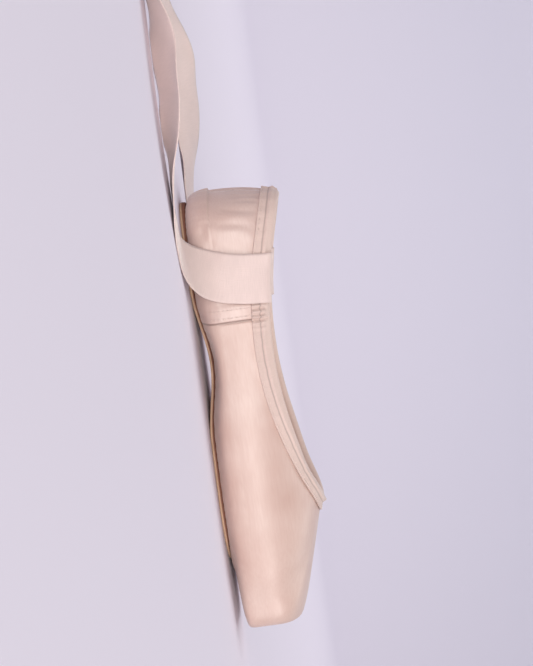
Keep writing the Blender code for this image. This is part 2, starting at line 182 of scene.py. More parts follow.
# The binding's stitch line, in from its edge and sunk into it, the spacing of the threads that gather the
# binding over each side seam, and a stitch's length as a share of its spacing
STITCH_INSET = 0.0014
STITCH_GROOVE = 0.00022
JOIN_STEP = 0.0030
STITCH_SHARE = 0.75

# Spacing of the stitches on the binding, the side seam and the ribbons, the heel's seam and the binding's
# joins, and where the ribbon's sewn box starts and ends along it
BINDING_STITCH = 0.0026
SEAM_STITCH = 0.0022
HEEL_STITCH = 0.0024
JOIN_STITCH = 0.0034
SEWN_BOX = (0.0015, 0.0105)

# Creases, listed one by one: start place and level, end place and level, bow to the side, half width and
# depth in millimetres. Places over 12 are on the +Y side's mirror, which is the side in the picture.
CREASES = (
    (20.35, 0.85, 20.95, 1.28, -0.06, 2.2, 0.48),
    (20.75, 0.30, 21.25, 0.72, 0.08, 2.0, 0.33),
    (21.35, 0.95, 21.95, 1.30, -0.08, 2.6, 0.44),
    (21.75, 0.25, 21.90, 0.95, 0.04, 1.9, 0.36),
    (22.25, 0.20, 22.40, 0.85, -0.05, 1.7, 0.39),
    (22.62, 0.24, 22.70, 0.62, 0.03, 1.4, 0.30),
    (22.95, 0.18, 22.90, 0.75, 0.05, 1.8, 0.33),
    (23.30, 0.22, 23.28, 0.66, -0.03, 1.6, 0.30),
    (23.62, 0.20, 23.60, 0.95, 0.04, 1.8, 0.27),
    (22.10, 1.05, 21.40, 1.35, 0.06, 2.4, 0.36),
    (22.90, 1.00, 23.60, 1.25, -0.05, 2.4, 0.32),
    (3.62, 0.88, 3.05, 1.25, 0.06, 2.2, 0.44),
    (3.20, 0.30, 2.80, 0.78, -0.08, 2.0, 0.31),
    (2.22, 0.28, 2.05, 0.90, -0.04, 1.9, 0.33),
    (1.62, 0.20, 1.58, 0.86, 0.05, 1.7, 0.36),
    (1.34, 0.24, 1.26, 0.60, -0.03, 1.4, 0.29),
    (1.02, 0.18, 1.08, 0.72, -0.05, 1.8, 0.31),
    (0.66, 0.20, 0.70, 0.66, 0.03, 1.6, 0.28),
    (0.40, 0.20, 0.42, 0.92, -0.04, 1.8, 0.25),
    (2.60, 1.00, 1.90, 1.30, 0.05, 2.4, 0.34),
)


def linear(code):
    """An sRGB hex colour as linear red, green and blue."""
    parts = [int(code[i : i + 2], 16) / 255 for i in (1, 3, 5)]
    return tuple(c / 12.92 if c <= 0.04045 else ((c + 0.055) / 1.055) ** 2.4 for c in parts)


def length(name, default, description):
    """A property that holds a length in metres."""
    return FloatProperty(name=name, default=default, description=description, unit="LENGTH", precision=5)


def colour(name, code, description):
    """A property that holds a colour, given as sRGB hex."""
    return FloatVectorProperty(
        name=name, default=linear(code), description=description, subtype="COLOR", min=0, max=1
    )


class PointeSizes(PropertyGroup):
    """The shoe's driving sizes."""

    shoe_length: length("Shoe length", 0.225, "From the back of the heel to the platform")
    ball_width: length("Ball width", 0.079, "Width of the upper at the ball of the foot")
    waist_width: length("Waist width", 0.069, "Width of the upper at the arch")
    heel_width: length("Heel width", 0.061, "Width of the upper at the heel")
    platform_width: length("Platform width", 0.046, "Width of the flat tip of the toe")
    platform_height: length("Platform height", 0.029, "Height of the flat tip of the toe")
    platform_lift: length("Platform lift", 0.004, "Height of the tip's lower edge off the floor")
    widest_height: length("Widest line", 0.015, "Height of the upper's widest line off the floor")
    vamp_length: length("Vamp length", 0.061, "From the platform to the throat")
    throat_height: length("Throat height", 0.052, "Height of the throat off the floor")
    side_height: length("Side height", 0.037, "Height of the collar at the waist")
    heel_height: length("Heel height", 0.050, "Height of the collar at the heel")
    collar_draw_in: length("Collar draw-in", 0.005, "How far the heel's top leans forward")
    satin_wall: length("Satin wall", 0.0012, "Thickness of satin and lining together")
    box_wall: length("Box wall", 0.0022, "Thickness of the stiffened toe box")
    seam_width: length("Side seam width", 0.006, "Width of the lapped side seam")
    seam_height: length("Side seam height", 0.0006, "How far the lapped seam stands out")
    sole_thickness: length("Sole thickness", 0.003, "Thickness of the leather outsole")
    sole_setback: length("Sole setback", 0.034, "From the platform to the outsole's front end")
    sole_heel_inset: length("Sole heel inset", 0.0035, "From the back of the heel to the outsole")
    sole_ball_width: length("Sole ball width", 0.056, "Width of the outsole at the ball")
    sole_waist_width: length("Sole waist width", 0.027, "Width of the outsole at the arch")
    sole_heel_width: length("Sole heel width", 0.041, "Width of the outsole at the heel")
    sole_overlap: length("Sole overlap", 0.006, "How far the outsole covers the turned-in upper")
    arch_height: length("Arch height", 0.0045, "Rise of the sole at the waist")
    insole_thickness: length("Insole thickness", 0.002, "Thickness of the canvas insole")
    binding_width: length("Binding width", 0.008, "Depth of the folded tape on each side")
    binding_thickness: length("Binding thickness", 0.0008, "Thickness of the folded tape")
    ribbon_width: length("Ribbon width", 0.025, "Width of the ankle ribbons")
    ribbon_thickness: length("Ribbon thickness", 0.0005, "Thickness of the ankle ribbons")
    string_diameter: length("String diameter", 0.0018, "Diameter of the drawstring")
    thread_diameter: length("Thread diameter", 0.0004, "Diameter of the sewing thread")
    gap: length("Gap", 0.0003, "Clearance between pieces that touch")


class PointeColours(PropertyGroup):
    """The shoe's colours."""

    satin: colour("Satin", "#D2B8AC", "Peach satin of the vamp and the box")
    # The deep satin is also the base of the painted shade line in front of the side seam's lap.
    satin_deep_and_shade: colour("Deep satin", "#BA9385", "The satin's darker threads")
    satin_heel: colour("Heel satin", "#D6BEB4", "The pinker satin of the quarters")
    lining: colour("Lining", "#F2DAD0", "Cotton lining inside the shoe")
    binding: colour("Binding", "#D9C1B6", "Tape round the collar")
    ribbon: colour("Ribbon", "#DFC9C1", "Ankle ribbons")
    leather: colour("Sole leather", "#CFAC90", "Suede face of the outsole")
    # Its dark brown on the edge's upper half, next to the satin, is partly painted shade.
    leather_edge_and_shade: colour("Sole edge", "#7A5142", "Dressed edge of the outsole")
    canvas: colour("Insole canvas", "#EED8CF", "Canvas over the insole board")
    thread: colour("Thread", "#DEC8BD", "Sewing thread")
    floor: colour("Floor", "#EFE9F3", "Floor")
    backdrop: colour("Backdrop", "#E4E1EC", "Backdrop")


def unit(vectors):
    """The same directions, each one metre long."""
    return vectors / np.linalg.norm(vectors, axis=-1, keepdims=True)


def run_of(points):
    """Distance in metres along a line of points."""
    return np.concatenate([[0], np.cumsum(np.linalg.norm(np.diff(points, axis=0), axis=1))])


def read_at(values, run, wanted):
    """Rows of values that lie along a run, read at the wanted distances."""
    return np.column_stack([np.interp(wanted, run, column) for column in values.T])


def over_grid(*values):
    """Values over a grid, widened to one shape and stacked as its last axis."""
    return np.stack(np.broadcast_arrays(*values), axis=-1)


def between(rows, bend, here, there, part):
    """The cubic between two rows: the straight mix of both, plus a bow for the bend at each."""
    straight = rows[here] * (1 - part) + rows[there] * part
    bow_here = ((1 - part) ** 3 - (1 - part)) * bend[here] / 6
    bow_there = (part**3 - part) * bend[there] / 6
    return straight + bow_here + bow_there


def smooth_loop(rows, mirrored, places):
    """The closed cubic curve through the rows and their mirror images, read at the given places.

    The bends are solved so that slope and bend run on through every row. A value with -1 in mirrored
    changes its sign on the other side.
    """
    rows = np.array(rows, float)
    loop = np.vstack([rows, rows[-2:0:-1] * mirrored])
    count = len(loop)
    pull = 4 * np.eye(count) + np.roll(np.eye(count), 1, 0) + np.roll(np.eye(count), -1, 0)
    bend = np.linalg.solve(pull, 6 * (np.roll(loop, 1, 0) - 2 * loop + np.roll(loop, -1, 0)))
    whole = np.floor(places).astype(int)
    return between(loop, bend, whole % count, (whole + 1) % count, (places - whole)[:, None])


def smooth_path(rows, count):
    """The natural cubic curve through the rows, read at count evenly spaced places."""
    rows = np.array(rows, float)
    last = len(rows) - 1
    pull = np.eye(last + 1)
    target = np.zeros_like(rows)
    inner = np.arange(1, last)
    pull[inner, inner] = 4
    pull[inner, inner - 1] = 1
    pull[inner, inner + 1] = 1
    target[1:-1] = 6 * (rows[:-2] - 2 * rows[1:-1] + rows[2:])
    bend = np.linalg.solve(pull, target)
    places = np.linspace(0, last, count)
    here = np.minimum(np.floor(places).astype(int), last - 1)
    return between(rows, bend, here, here + 1, (places - here)[:, None])


def evenly(path, count):
    """A path read again at count points an equal distance apart."""
    run = run_of(path[:, :3])
    return read_at(path, run, np.linspace(0, run[-1], count))


def ease(value, start, end):
    """0 before start, 1 after end, with a level run at both."""
    share = np.clip((value - start) / (end - start), 0, 1)
    return share * share * (3 - 2 * share)


def hump(value, middle, half_width):
    """A bell that is 1 at the middle and falls to about a third at the half width."""
    return np.exp(-(((value - middle) / half_width) ** 2))


def ripple(points, seed, wave, kinds=9):
    """Soft cloth noise, about -1 to 1: the mean of plane waves in seeded directions and phases."""
    rng = np.random.default_rng(seed)
    total = 0
    for _ in range(kinds):
        way = unit(rng.normal(size=3))
        turn = 2 * math.pi / (wave * rng.uniform(0.7, 1.5))
        total = total + np.sin(points @ way * turn + rng.uniform(0, 2 * math.pi))
    return total / math.sqrt(kinds)


def outline_rows(s):
    """The widest line seen from above: X, then half width."""
    heel, waist, ball, tip = s.heel_width, s.waist_width, s.ball_width, s.platform_width
    rows = (
        (0.000, 0.000 * heel),
        (0.015, 0.240 * heel),
        (0.068, 0.430 * heel),
        (0.160, 0.495 * heel),
        (0.277, 0.470 * waist),
        (0.400, 0.500 * waist),
        (0.524, 0.480 * ball),
        (0.640, 0.500 * ball),
        (0.755, 0.496 * ball),
        (0.862, 0.446 * ball),
        (0.943, 0.622 * tip),
        (0.996, 0.490 * tip),
        (1.030, 0.000 * tip),
    )
    return [(s.shoe_length * (share - 0.5), half) for share, half in rows]


def section_rows(s):
    """Height of the widest line, height of the roof over it, boxiness of the section, and the angle in
    degrees at which the collar cuts the section's arch."""
    wide, side = s.widest_height, s.side_height
    top = s.platform_lift + s.platform_height
    middle = s.platform_lift + s.platform_height / 2
    return (
        (1.05 * wide, 1.000 * s.heel_height, 2.2, 27),
        (1.05 * wide, 0.985 * s.heel_height, 2.2, 27),
        (1.00 * wide, 0.930 * s.heel_height, 2.2, 27),
        (1.00 * wide, 1.120 * side, 2.2, 26),
        (1.00 * wide, 1.020 * side, 2.2, 26),
        (0.97 * wide, 1.000 * side, 2.2, 27),
        (0.95 * wide, 1.060 * side, 2.2, 33),
        (0.93 * wide, 1.160 * side, 2.25, 44),
        (0.93 * wide, 0.890 * s.throat_height, 2.4, 58),
        (0.98 * wide, 1.290 * top, 2.8, 72),
        (0.78 * middle, 1.090 * top, 3.4, 82),
        (0.80 * middle, 0.985 * top, 5.2, 88),
        (0.80 * middle, 1.010 * top, 7.0, 90),
    )


def collar_rows(s):
    """The collar edge: X, half width and height."""
    heel, waist, ball, side = s.heel_width, s.waist_width, s.ball_width, s.side_height
    rows = (
        (0.000, 0.000 * heel, 1.000 * s.heel_height),
        (0.014, 0.185 * heel, 0.985 * s.heel_height),
        (0.080, 0.355 * heel, 0.930 * s.heel_height),
        (0.208, 0.440 * heel, 1.120 * side),
        (0.362, 0.425 * waist, 1.020 * side),
        (0.522, 0.455 * waist, 1.000 * side),
        (0.665, 0.405 * ball, 1.060 * side),
        (0.787, 0.365 * ball, 1.160 * side),
        (0.882, 0.285 * ball, 0.890 * s.throat_height),
        (0.945, 0.190 * ball, 0.955 * s.throat_height),
        (0.980, 0.110 * ball, 0.988 * s.throat_height),
        (0.996, 0.050 * ball, 0.999 * s.throat_height),
        (1.000, 0.000 * ball, 1.000 * s.throat_height),
    )
    first = -s.shoe_length / 2 + s.collar_draw_in
    throat = s.shoe_length / 2 - s.vamp_length
    return [(first + share * (throat - first), half, height) for share, half, height in rows]


def sole_rows(s):
    """The outsole's outline: X, then half width."""
    heel, waist, ball = s.sole_heel_width, s.sole_waist_width, s.sole_ball_width
    rows = (
        (0.000, 0.000 * heel),
        (0.012, 0.245 * heel),
        (0.075, 0.430 * heel),
        (0.185, 0.500 * heel),
        (0.315, 0.570 * waist),
        (0.440, 0.490 * waist),
        (0.570, 0.320 * ball),
        (0.700, 0.440 * ball),
        (0.820, 0.500 * ball),
        (0.915, 0.440 * ball),
        (0.970, 0.300 * ball),
        (0.995, 0.135 * ball),
        (1.000, 0.000 * ball),
    )
    rear = -s.shoe_length / 2 + s.sole_heel_inset
    front = s.shoe_length / 2 - s.sole_setback
    return [(rear + share * (front - rear), half) for share, half in rows]


def rise(s, x):
    """How far the sole's underside is off the floor: a squared sine at the waist, a parabola at the toe."""
    share = x / s.shoe_length + 0.5
    waist = np.clip((share - HEEL_FLAT_END) / (BALL_FLAT_START - HEEL_FLAT_END), 0, 1)
    toe = np.clip((share - BALL_FLAT_END) / (1 - BALL_FLAT_END), 0, None)
    spring = s.platform_lift - s.sole_thickness - s.gap
    return s.arch_height * np.sin(math.pi * waist) ** 2 + spring * toe**2


def wall_at(s, x):
    """Thickness of the upper, which grows from the quarters to the stiff toe box."""
    before = s.shoe_length / 2 - x
    return s.satin_wall + (s.box_wall - s.satin_wall) * ease(before, BOX_REAR, BOX_STIFF)


def arch(angle, boxiness):
    """A quarter of a superellipse by its polar angle: how far out and how far up, each 0 to 1."""
    out, up = np.cos(angle), np.sin(angle)
    size = (np.abs(out) ** boxiness + np.abs(up) ** boxiness) ** (1 / boxiness)
    return out / size, up / size


def under_boxiness(places):
    """Boxiness of the section below the widest line, which grows towards the toe to keep its corner full."""
    side = np.minimum(places, 2 * LAST - places)
    return (UNDER_BOXINESS + (TOE_BOXINESS - UNDER_BOXINESS) * ease(side, *TOE_PLACES))[:, None]


def inwards(points, distance):
    """A closed plan outline moved towards its inside by a distance."""
    along = unit(np.roll(points, -1, 0) - np.roll(points, 1, 0))
    return points + distance * np.stack([along[:, 1], -along[:, 0]], axis=1)


def plan_curves(s, places):
    """The outline and the opening's edge under the foot, each as [place, level 1, axis]."""
    outline = smooth_loop(outline_rows(s), (1, -1), places)
    fine = np.arange(0, 2 * LAST, 0.02)
    edge = inwards(smooth_loop(sole_rows(s), (1, -1), fine), s.sole_overlap)
    edge = np.vstack([edge, edge[:1]])
    fine = np.append(fine, 2 * LAST)
    under = read_at(edge, fine, np.mod(places, 2 * LAST))
    return outline[:, None, :], under[:, None, :]


def form(s, places, levels):
    """Points on the upper's outer face, without relief, as [place, level, axis].

    From collar to widest line a column follows a superellipse arch that the collar cuts off, under a roof
    that slopes from the collar to the roof height over the outline. Below, it follows a boxier arch down
    to the top of the outsole. The platform is where the length limit presses the form flat, and the
    limit's corner is rounded by a soft minimum.
    """
    outline, under = plan_curves(s, places)
    collar = smooth_loop(collar_rows(s), (1, -1, 1), places)[:, None, :]
    section = smooth_loop(section_rows(s), (1, 1, 1, 1), places)[:, None, :]
    widest, roof_out, boxiness, cut = (section[..., i] for i in range(4))
    cut = np.radians(np.minimum(cut, 90))
    level = np.array(levels, float)
    level = level[None, :] if level.ndim == 1 else level
    out, up = arch(cut * np.clip(1 - level, 0, 1), boxiness)
    out_cut, up_cut = arch(cut, boxiness)
    reach = np.clip((out - out_cut) / (1 - out_cut), 0, 1)
    roof = collar[..., 2] + (roof_out - collar[..., 2]) * reach
    top_plan = collar[..., :2] + (outline - collar[..., :2]) * reach[..., None]
    top_height = widest + (roof - widest) * up / up_cut
    out, up = arch(np.radians(90) * np.clip(level - 1, 0, 1), under_boxiness(places))
    low_plan = under + (outline - under) * out[..., None]
    limit = s.shoe_length / 2
    bottom = rise(s, np.minimum(low_plan[..., 0], limit)) + s.sole_thickness + s.gap
    low_height = widest + (bottom - widest) * up
    is_low = level > 1
    plan = np.where(is_low[..., None], low_plan, top_plan)
    plan[..., 0] = limit - PLATFORM_EDGE * np.logaddexp(0, (limit - plan[..., 0]) / PLATFORM_EDGE)
    height = np.where(is_low, low_height, top_height)
    return np.concatenate([plan, height[..., None]], axis=2)


def outward(points):
    """Unit normals of a form grid, whose places go round and whose levels go down."""
    round_it = np.roll(points, -1, 0) - np.roll(points, 1, 0)
    return unit(np.cross(round_it, np.gradient(points, axis=1)))


def run_along(points, axis):
    """Distance in metres along one axis of a grid, from its first point."""
    step = np.linalg.norm(np.diff(points, axis=axis), axis=2)
    start = np.zeros_like(np.take(step, [0], axis=axis))
    return np.concatenate([start, np.cumsum(step, axis=axis)], axis=axis)


def from_row(s, places, row):
    """Distance round the outline from a row and its mirror row, growing towards the toe."""
    near = smooth_loop(outline_rows(s), (1, -1), np.array([row - 0.05, row + 0.05]))
    spacing = np.linalg.norm(near[1] - near[0]) / 0.1
    side = np.minimum(places, 2 * LAST - places)
    return (side - row) * spacing


def columns(per_row):
    """Places round the shoe: an even spread, and closer ones at the seams."""
    even = np.arange(0, LAST + 1e-6, 1 / per_row)
    side = SIDE_SEAM + np.linspace(-0.42, 0.42, 69)
    back = np.linspace(0, 0.16, 14)
    half = np.unique(np.round(np.concatenate([even, side, back]), 4))
    half = half[np.append(np.diff(half) > 0.002, True)]
    return np.concatenate([half, 2 * LAST - half[-2:0:-1]])


def beyond_sole(s, places, levels):
    """Distance of the upper's underside outside the outsole's edge, and a large number higher up."""
    outline, under = plan_curves(s, places)
    out, _ = arch(np.radians(90) * np.clip(levels - 1, 0, 1)[None, :], under_boxiness(places))
    reach = np.linalg.norm(outline - under, axis=2) * out
    return np.where(levels[None, :] > 1, reach - s.sole_overlap, 1.0)


def lap_seam(s, places):
    """The quarter laid over the vamp: a crisp step on the toe side, a softer one towards the heel."""
    along = from_row(s, places, SIDE_SEAM)
    half = s.seam_width / 2
    front = ease(along, half + LAP_STEP, half)
    rear = LAP_REST + (1 - LAP_REST) * ease(along, -half - LAP_TAIL, -half)
    return s.seam_height * front * rear - LAP_DIP * hump(along, half + 0.0010, 0.0006)


def back_seam(s, places):
    """The ridge at the middle of the heel, with a shallow pull on both sides of it."""
    along = np.abs(from_row(s, places, 0))
    return HEEL_RIDGE * hump(along, 0, 0.0013) - HEEL_PULL * hump(along, 0.0034, 0.0012)


def crease(s, points, normal, start, end, bow, half_width, depth):
    """One soft trough with a low ridge beside it, along a bowed line on the surface.

    The line's nearest point is found for every grid point. The trough is a bell across the line, the
    ridge a lower bell beside it, and both fade to nothing at the line's ends.
    """
    share = np.linspace(0, 1, 22)
    place = start[0] + (end[0] - start[0]) * share + bow * np.sin(math.pi * share)
    level = start[1] + (end[1] - start[1]) * share
    line = form(s, place, level[:, None])[:, 0]
    way = unit(np.gradient(line, axis=0))
    reach = 3.5 * half_width
    near = ((points > line.min(0) - reach) & (points < line.max(0) + reach)).all(axis=2)
    found = points[near]
    away = np.linalg.norm(found[:, None] - line[None], axis=2)
    closest = away.argmin(axis=1)
    aside = np.cross(normal[near], way[closest])
    offset = np.sum((found - line[closest]) * aside, axis=1)
    fade = np.sin(math.pi * share[closest]) ** 0.8
    shape = -hump(offset, 0, half_width) + 0.5 * hump(offset, 1.7 * half_width, half_width)
    height = np.zeros(points.shape[:2])
    height[near] = depth * fade * shape
    return height


def relief(s, places, levels, points, normal):
    """Height of the satin over its plain form: seams, creases, gathers, pleats and the swell at the sole."""
    level = levels[None, :]
    place = places[:, None]
    above_sole = 1 - ease(level, 1.0, 1.5)
    height = lap_seam(s, places)[:, None] * above_sole + back_seam(s, places)[:, None] * above_sole
    for row in CREASES:
        start, end, (bow, half_width, depth) = row[:2], row[2:4], row[4:]
        height += crease(s, points, normal, start, end, bow, half_width / 1000, depth / 1000)
    down = run_along(points, 1)
    below_binding = down - s.binding_width
    soft_part = 1 - ease(points[..., 0], *SOFT_TO_STIFF)
    gathers = ripple(points * (1, 1, 0.15), 5, GATHER_WAVE) * np.exp(-np.clip(below_binding, 0, None) / 0.006)
    height += GATHER_HEIGHT * gathers * (0.3 + 0.7 * soft_part) * (level < 1)
    height += CLOTH_HEIGHT * ripple(points, 11, CLOTH_WAVE) * (0.25 + 0.75 * soft_part)
    outside = beyond_sole(s, places, levels)
    swell = ease(outside, 0.0002, 0.0016) * (1 - ease(outside, 0.0030, 0.0120))
    toe = ease(np.minimum(place, 2 * LAST - place), 8.4, 10.2)
    height += (SWELL_HEIGHT + SWELL_AT_TOE * toe) * swell
    uneven = place * PLEATS_PER_PLACE + 0.35 * np.sin(place * 5.1)
    fold = np.abs(np.cos(math.pi * uneven)) - 0.55
    pleats = ease(outside, 0.0002, 0.0020) * (1 - ease(outside, 0.010, 0.026)) * (level > 1)
    height += (PLEAT_HEIGHT + PLEAT_AT_TOE * toe) * fold * pleats
    return height * ease(outside, 0.0, 0.0012)


def mesh_object(name, points, faces, material_index=None, uv=None, merge=True):
    """An object from arrays of points and quads. uv is one pair for each point."""
    mesh = bpy.data.meshes.new(name)
    mesh.vertices.add(len(points))
    mesh.vertices.foreach_set("co", np.ascontiguousarray(points, np.float32).ravel())
    mesh.loops.add(faces.size)
    mesh.loops.foreach_set("vertex_index", faces.astype(np.int32).ravel())
    mesh.polygons.add(len(faces))
    mesh.polygons.foreach_set("loop_start", np.arange(0, faces.size, faces.shape[1], dtype=np.int32))
    if material_index is not None:
        mesh.polygons.foreach_set("material_index", material_index.astype(np.int32))
    mesh.update(calc_edges=True)
    if uv is not None:
        layer = mesh.uv_layers.new(name="cloth")
        layer.data.foreach_set("uv", uv[faces.ravel()].astype(np.float32).ravel())
    if merge:
        work = bmesh.new()
        work.from_mesh(mesh)
        bmesh.ops.remove_doubles(work, verts=work.verts, dist=1e-7)
        bmesh.ops.dissolve_degenerate(work, dist=1e-8, edges=work.edges)
        work.to_mesh(mesh)
        work.free()
    mesh.validate()
    mesh.shade_smooth()
    made = bpy.data.objects.new(name, mesh)
    bpy.context.scene.collection.objects.link(made)
    return made


def grid_faces(rows, cols, wrap_rows, wrap_cols):
    """Quads of a grid of points, numbered row by row."""
    number = np.arange(rows * cols).reshape(rows, cols)
    if wrap_rows:
        number = np.vstack([number, number[:1]])
    if wrap_cols:
        number = np.hstack([number, number[:, :1]])
    corners = (number[:-1, :-1], number[1:, :-1], number[1:, 1:], number[:-1, 1:])
    return np.stack(corners, axis=2).reshape(-1, 4)


def finish_piece(piece, materials, replaced=()):
    """Gives a piece its materials and its body, and hides the frame's parts that it stands for."""
    for material in materials:
        piece.data.materials.append(material)
    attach(piece, "root")
    if replaced:
        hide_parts(*replaced)
    return piece


def grid_piece(name, grid, wraps, uv, material, replaced, merge=True):
    """A finished piece from a grid of points that may close on itself along its rows and its columns."""
    faces = grid_faces(*grid.shape[:2], *wraps)
    flat_uv = None if uv is None else uv.reshape(-1, 2)
    piece = mesh_object(name, grid.reshape(-1, 3), faces, uv=flat_uv, merge=merge)
    return finish_piece(piece, [material], replaced)


def node(tree, kind, inputs=None, output=0, **settings):
    """Adds a shader node with its settings, sets or links its inputs, and gives one of its outputs."""
    made = tree.nodes.new(kind)
    for key, value in settings.items():
        setattr(made, key, value)
    for key, value in (inputs or {}).items():
        if isinstance(value, bpy.types.NodeSocket):
            tree.links.new(value, made.inputs[key])
        else:
            made.inputs[key].default_value = value
    return made.outputs[output]


def new_material(name, **sockets):
    """A material with one Principled BSDF, and the values that are the same all over it."""
    made = bpy.data.materials.new(name)
    made.use_nodes = True
    tree = made.node_tree
    shader = tree.nodes["Principled BSDF"]
    for key, value in sockets.items():
        shader.inputs[key.replace("_", " ")].default_value = value
    return made, tree


def shaded(tone, factor):
    """A colour made darker or lighter by a factor, ready for a socket."""
    return (*(min(1.0, factor * part) for part in tone), 1)


def blend(tree, body, value, low, high, most, tone):
    """Mixes a tone over a colour, by a share that grows from 0 to most as a value goes from low to high."""
    share = node(tree, "ShaderNodeMapRange", {0: value, 1: low, 2: high, 3: 0.0, 4: most})
    return node(tree, "ShaderNodeMix", {0: share, 6: body, 7: tone}, 2, data_type="RGBA")


def off_line(tree, value, line):
    """Distance of a value from a line's own value."""
    aside = node(tree, "ShaderNodeMath", {0: value, 1: line}, operation="SUBTRACT")
    return node(tree, "ShaderNodeMath", {0: aside}, operation="ABSOLUTE")


def dress(tree, body, height=None, strength=0.0, distance=0.0):
    """Links a material's colour and, where it has one, its fine relief."""
    shader = tree.nodes["Principled BSDF"]
    tree.links.new(body, shader.inputs["Base Color"])
    if height is not None:
        bump = node(tree, "ShaderNodeBump", {"Height": height, "Strength": strength, "Distance": distance})
        tree.links.new(bump, shader.inputs["Normal"])


def satin_material(c):
    """Polyester satin, woven with long warp floats: a silky highlight that runs along the shoe, and a
    tone that wanders a little. Real threads are 0.1 mm apart, too fine to show, so the streaks that
    stand for them are 0.8 mm wide and 9 mm long. The quarters behind the side seam are a pinker bolt,
    and a dark line of painted shade runs in front of the lap's step. UV X is the distance from that seam."""
    made, tree = new_material(
        "peach satin", Sheen_Weight=0.18, Sheen_Roughness=0.35, Sheen_Tint=(1.0, 0.95, 0.91, 1),
        Specular_IOR_Level=0.9, Specular_Tint=(1.0, 0.97, 0.94, 1),
    )
    where = node(tree, "ShaderNodeTexCoord", output="Object")
    warp = node(tree, "ShaderNodeMapping", {"Vector": where, "Scale": (110, 1250, 1250)})
    streaks = node(tree, "ShaderNodeTexNoise", {"Vector": warp, "Scale": 1.0, "Detail": 3.0})
    clouds = node(tree, "ShaderNodeTexNoise", {"Vector": where, "Scale": 38.0, "Detail": 2.0})
    place = node(tree, "ShaderNodeUVMap", uv_map="cloth")
    from_seam = node(tree, "ShaderNodeSeparateXYZ", {"Vector": place})
    body = blend(tree, shaded(c.satin_heel, 1), from_seam, 0.0030, 0.0036, 1.0, shaded(c.satin, 1))
    body = blend(tree, body, clouds, 0.35, 0.75, 0.5, shaded(c.satin_deep_and_shade, 1))
    body = blend(tree, body, streaks, 0.35, 0.65, 0.18, shaded(c.satin_deep_and_shade, 1))
    # Painted shade: a dark line on the satin just in front of the lap's step.
    off_shade_line = off_line(tree, from_seam, 0.0037)
    body = blend(tree, body, off_shade_line, 0.0008, 0.0002, 0.75, shaded(c.satin_deep_and_shade, 0.4))
    rough = node(tree, "ShaderNodeMapRange", {0: streaks, 1: 0.3, 2: 0.7, 3: 0.37, 4: 0.44})
    tree.links.new(rough, tree.nodes["Principled BSDF"].inputs["Roughness"])
    dress(tree, body, streaks, 0.08, 0.0004)
    return made


def lining_material(c):
    """Cotton drill lining: matte, with a twill of ribs 1.6 mm apart, a few times the real spacing, and
    soft marks from handling."""
    made, tree = new_material("cotton lining", Roughness=0.9, Sheen_Weight=0.15)
    where = node(tree, "ShaderNodeTexCoord", output="Object")
    turned = node(tree, "ShaderNodeMapping", {"Vector": where, "Rotation": (0.3, 0.6, 0.7)})
    twill = node(tree, "ShaderNodeTexWave", {"Vector": turned, "Scale": 200.0, "Distortion": 0.6}, "Fac")
    marks = node(tree, "ShaderNodeTexNoise", {"Vector": where, "Scale": 60.0, "Detail": 3.0})
    body = blend(tree, shaded(c.lining, 1), marks, 0.35, 0.75, 1.0, shaded(c.lining, 0.82))
    dress(tree, body, twill, 0.3, 0.0002)
    return made


def tape_material(name, tone, ribs_per_metre, roughness, sheen, shade_line_at=-1.0):
    """Woven tape, ribbon or cord on its own UV, which is in metres along and across it: fine ribs across
    it, warp threads along it, and a tone that wanders. The ribs stand for threads too fine to show. A
    darker line of painted shade lies in the groove at shade_line_at across the tape, and at -1 there is none."""
    made, tree = new_material(name, Roughness=roughness, Sheen_Weight=sheen, Sheen_Roughness=0.4)
    where = node(tree, "ShaderNodeUVMap", uv_map="cloth")
    weft = node(tree, "ShaderNodeMapping", {"Vector": where, "Scale": (ribs_per_metre, 150, 1)})
    ribs = node(tree, "ShaderNodeTexNoise", {"Vector": weft, "Scale": 1.0, "Detail": 2.0})
    warp = node(tree, "ShaderNodeMapping", {"Vector": where, "Scale": (110, 1.6 * ribs_per_metre, 1)})
    threads = node(tree, "ShaderNodeTexNoise", {"Vector": warp, "Scale": 1.0, "Detail": 2.0})
    clouds = node(tree, "ShaderNodeTexNoise", {"Vector": where, "Scale": 60.0, "Detail": 2.0})
    body = blend(tree, shaded(tone, 1), clouds, 0.35, 0.75, 0.45, shaded(tone, 0.85))
    body = blend(tree, body, ribs, 0.35, 0.65, 0.22, shaded(tone, 0.8))
    down = node(tree, "ShaderNodeSeparateXYZ", {"Vector": where}, "Y")
    # Painted shade: a darker line in the groove beside the cord, at shade_line_at across the tape.
    body = blend(tree, body, off_line(tree, down, shade_line_at), 0.0006, 0.0001, 0.6, shaded(tone, 0.45))
    height = node(tree, "ShaderNodeMath", {0: ribs, 1: threads}, operation="ADD")
    dress(tree, body, height, 0.25, 0.0003)
    return made


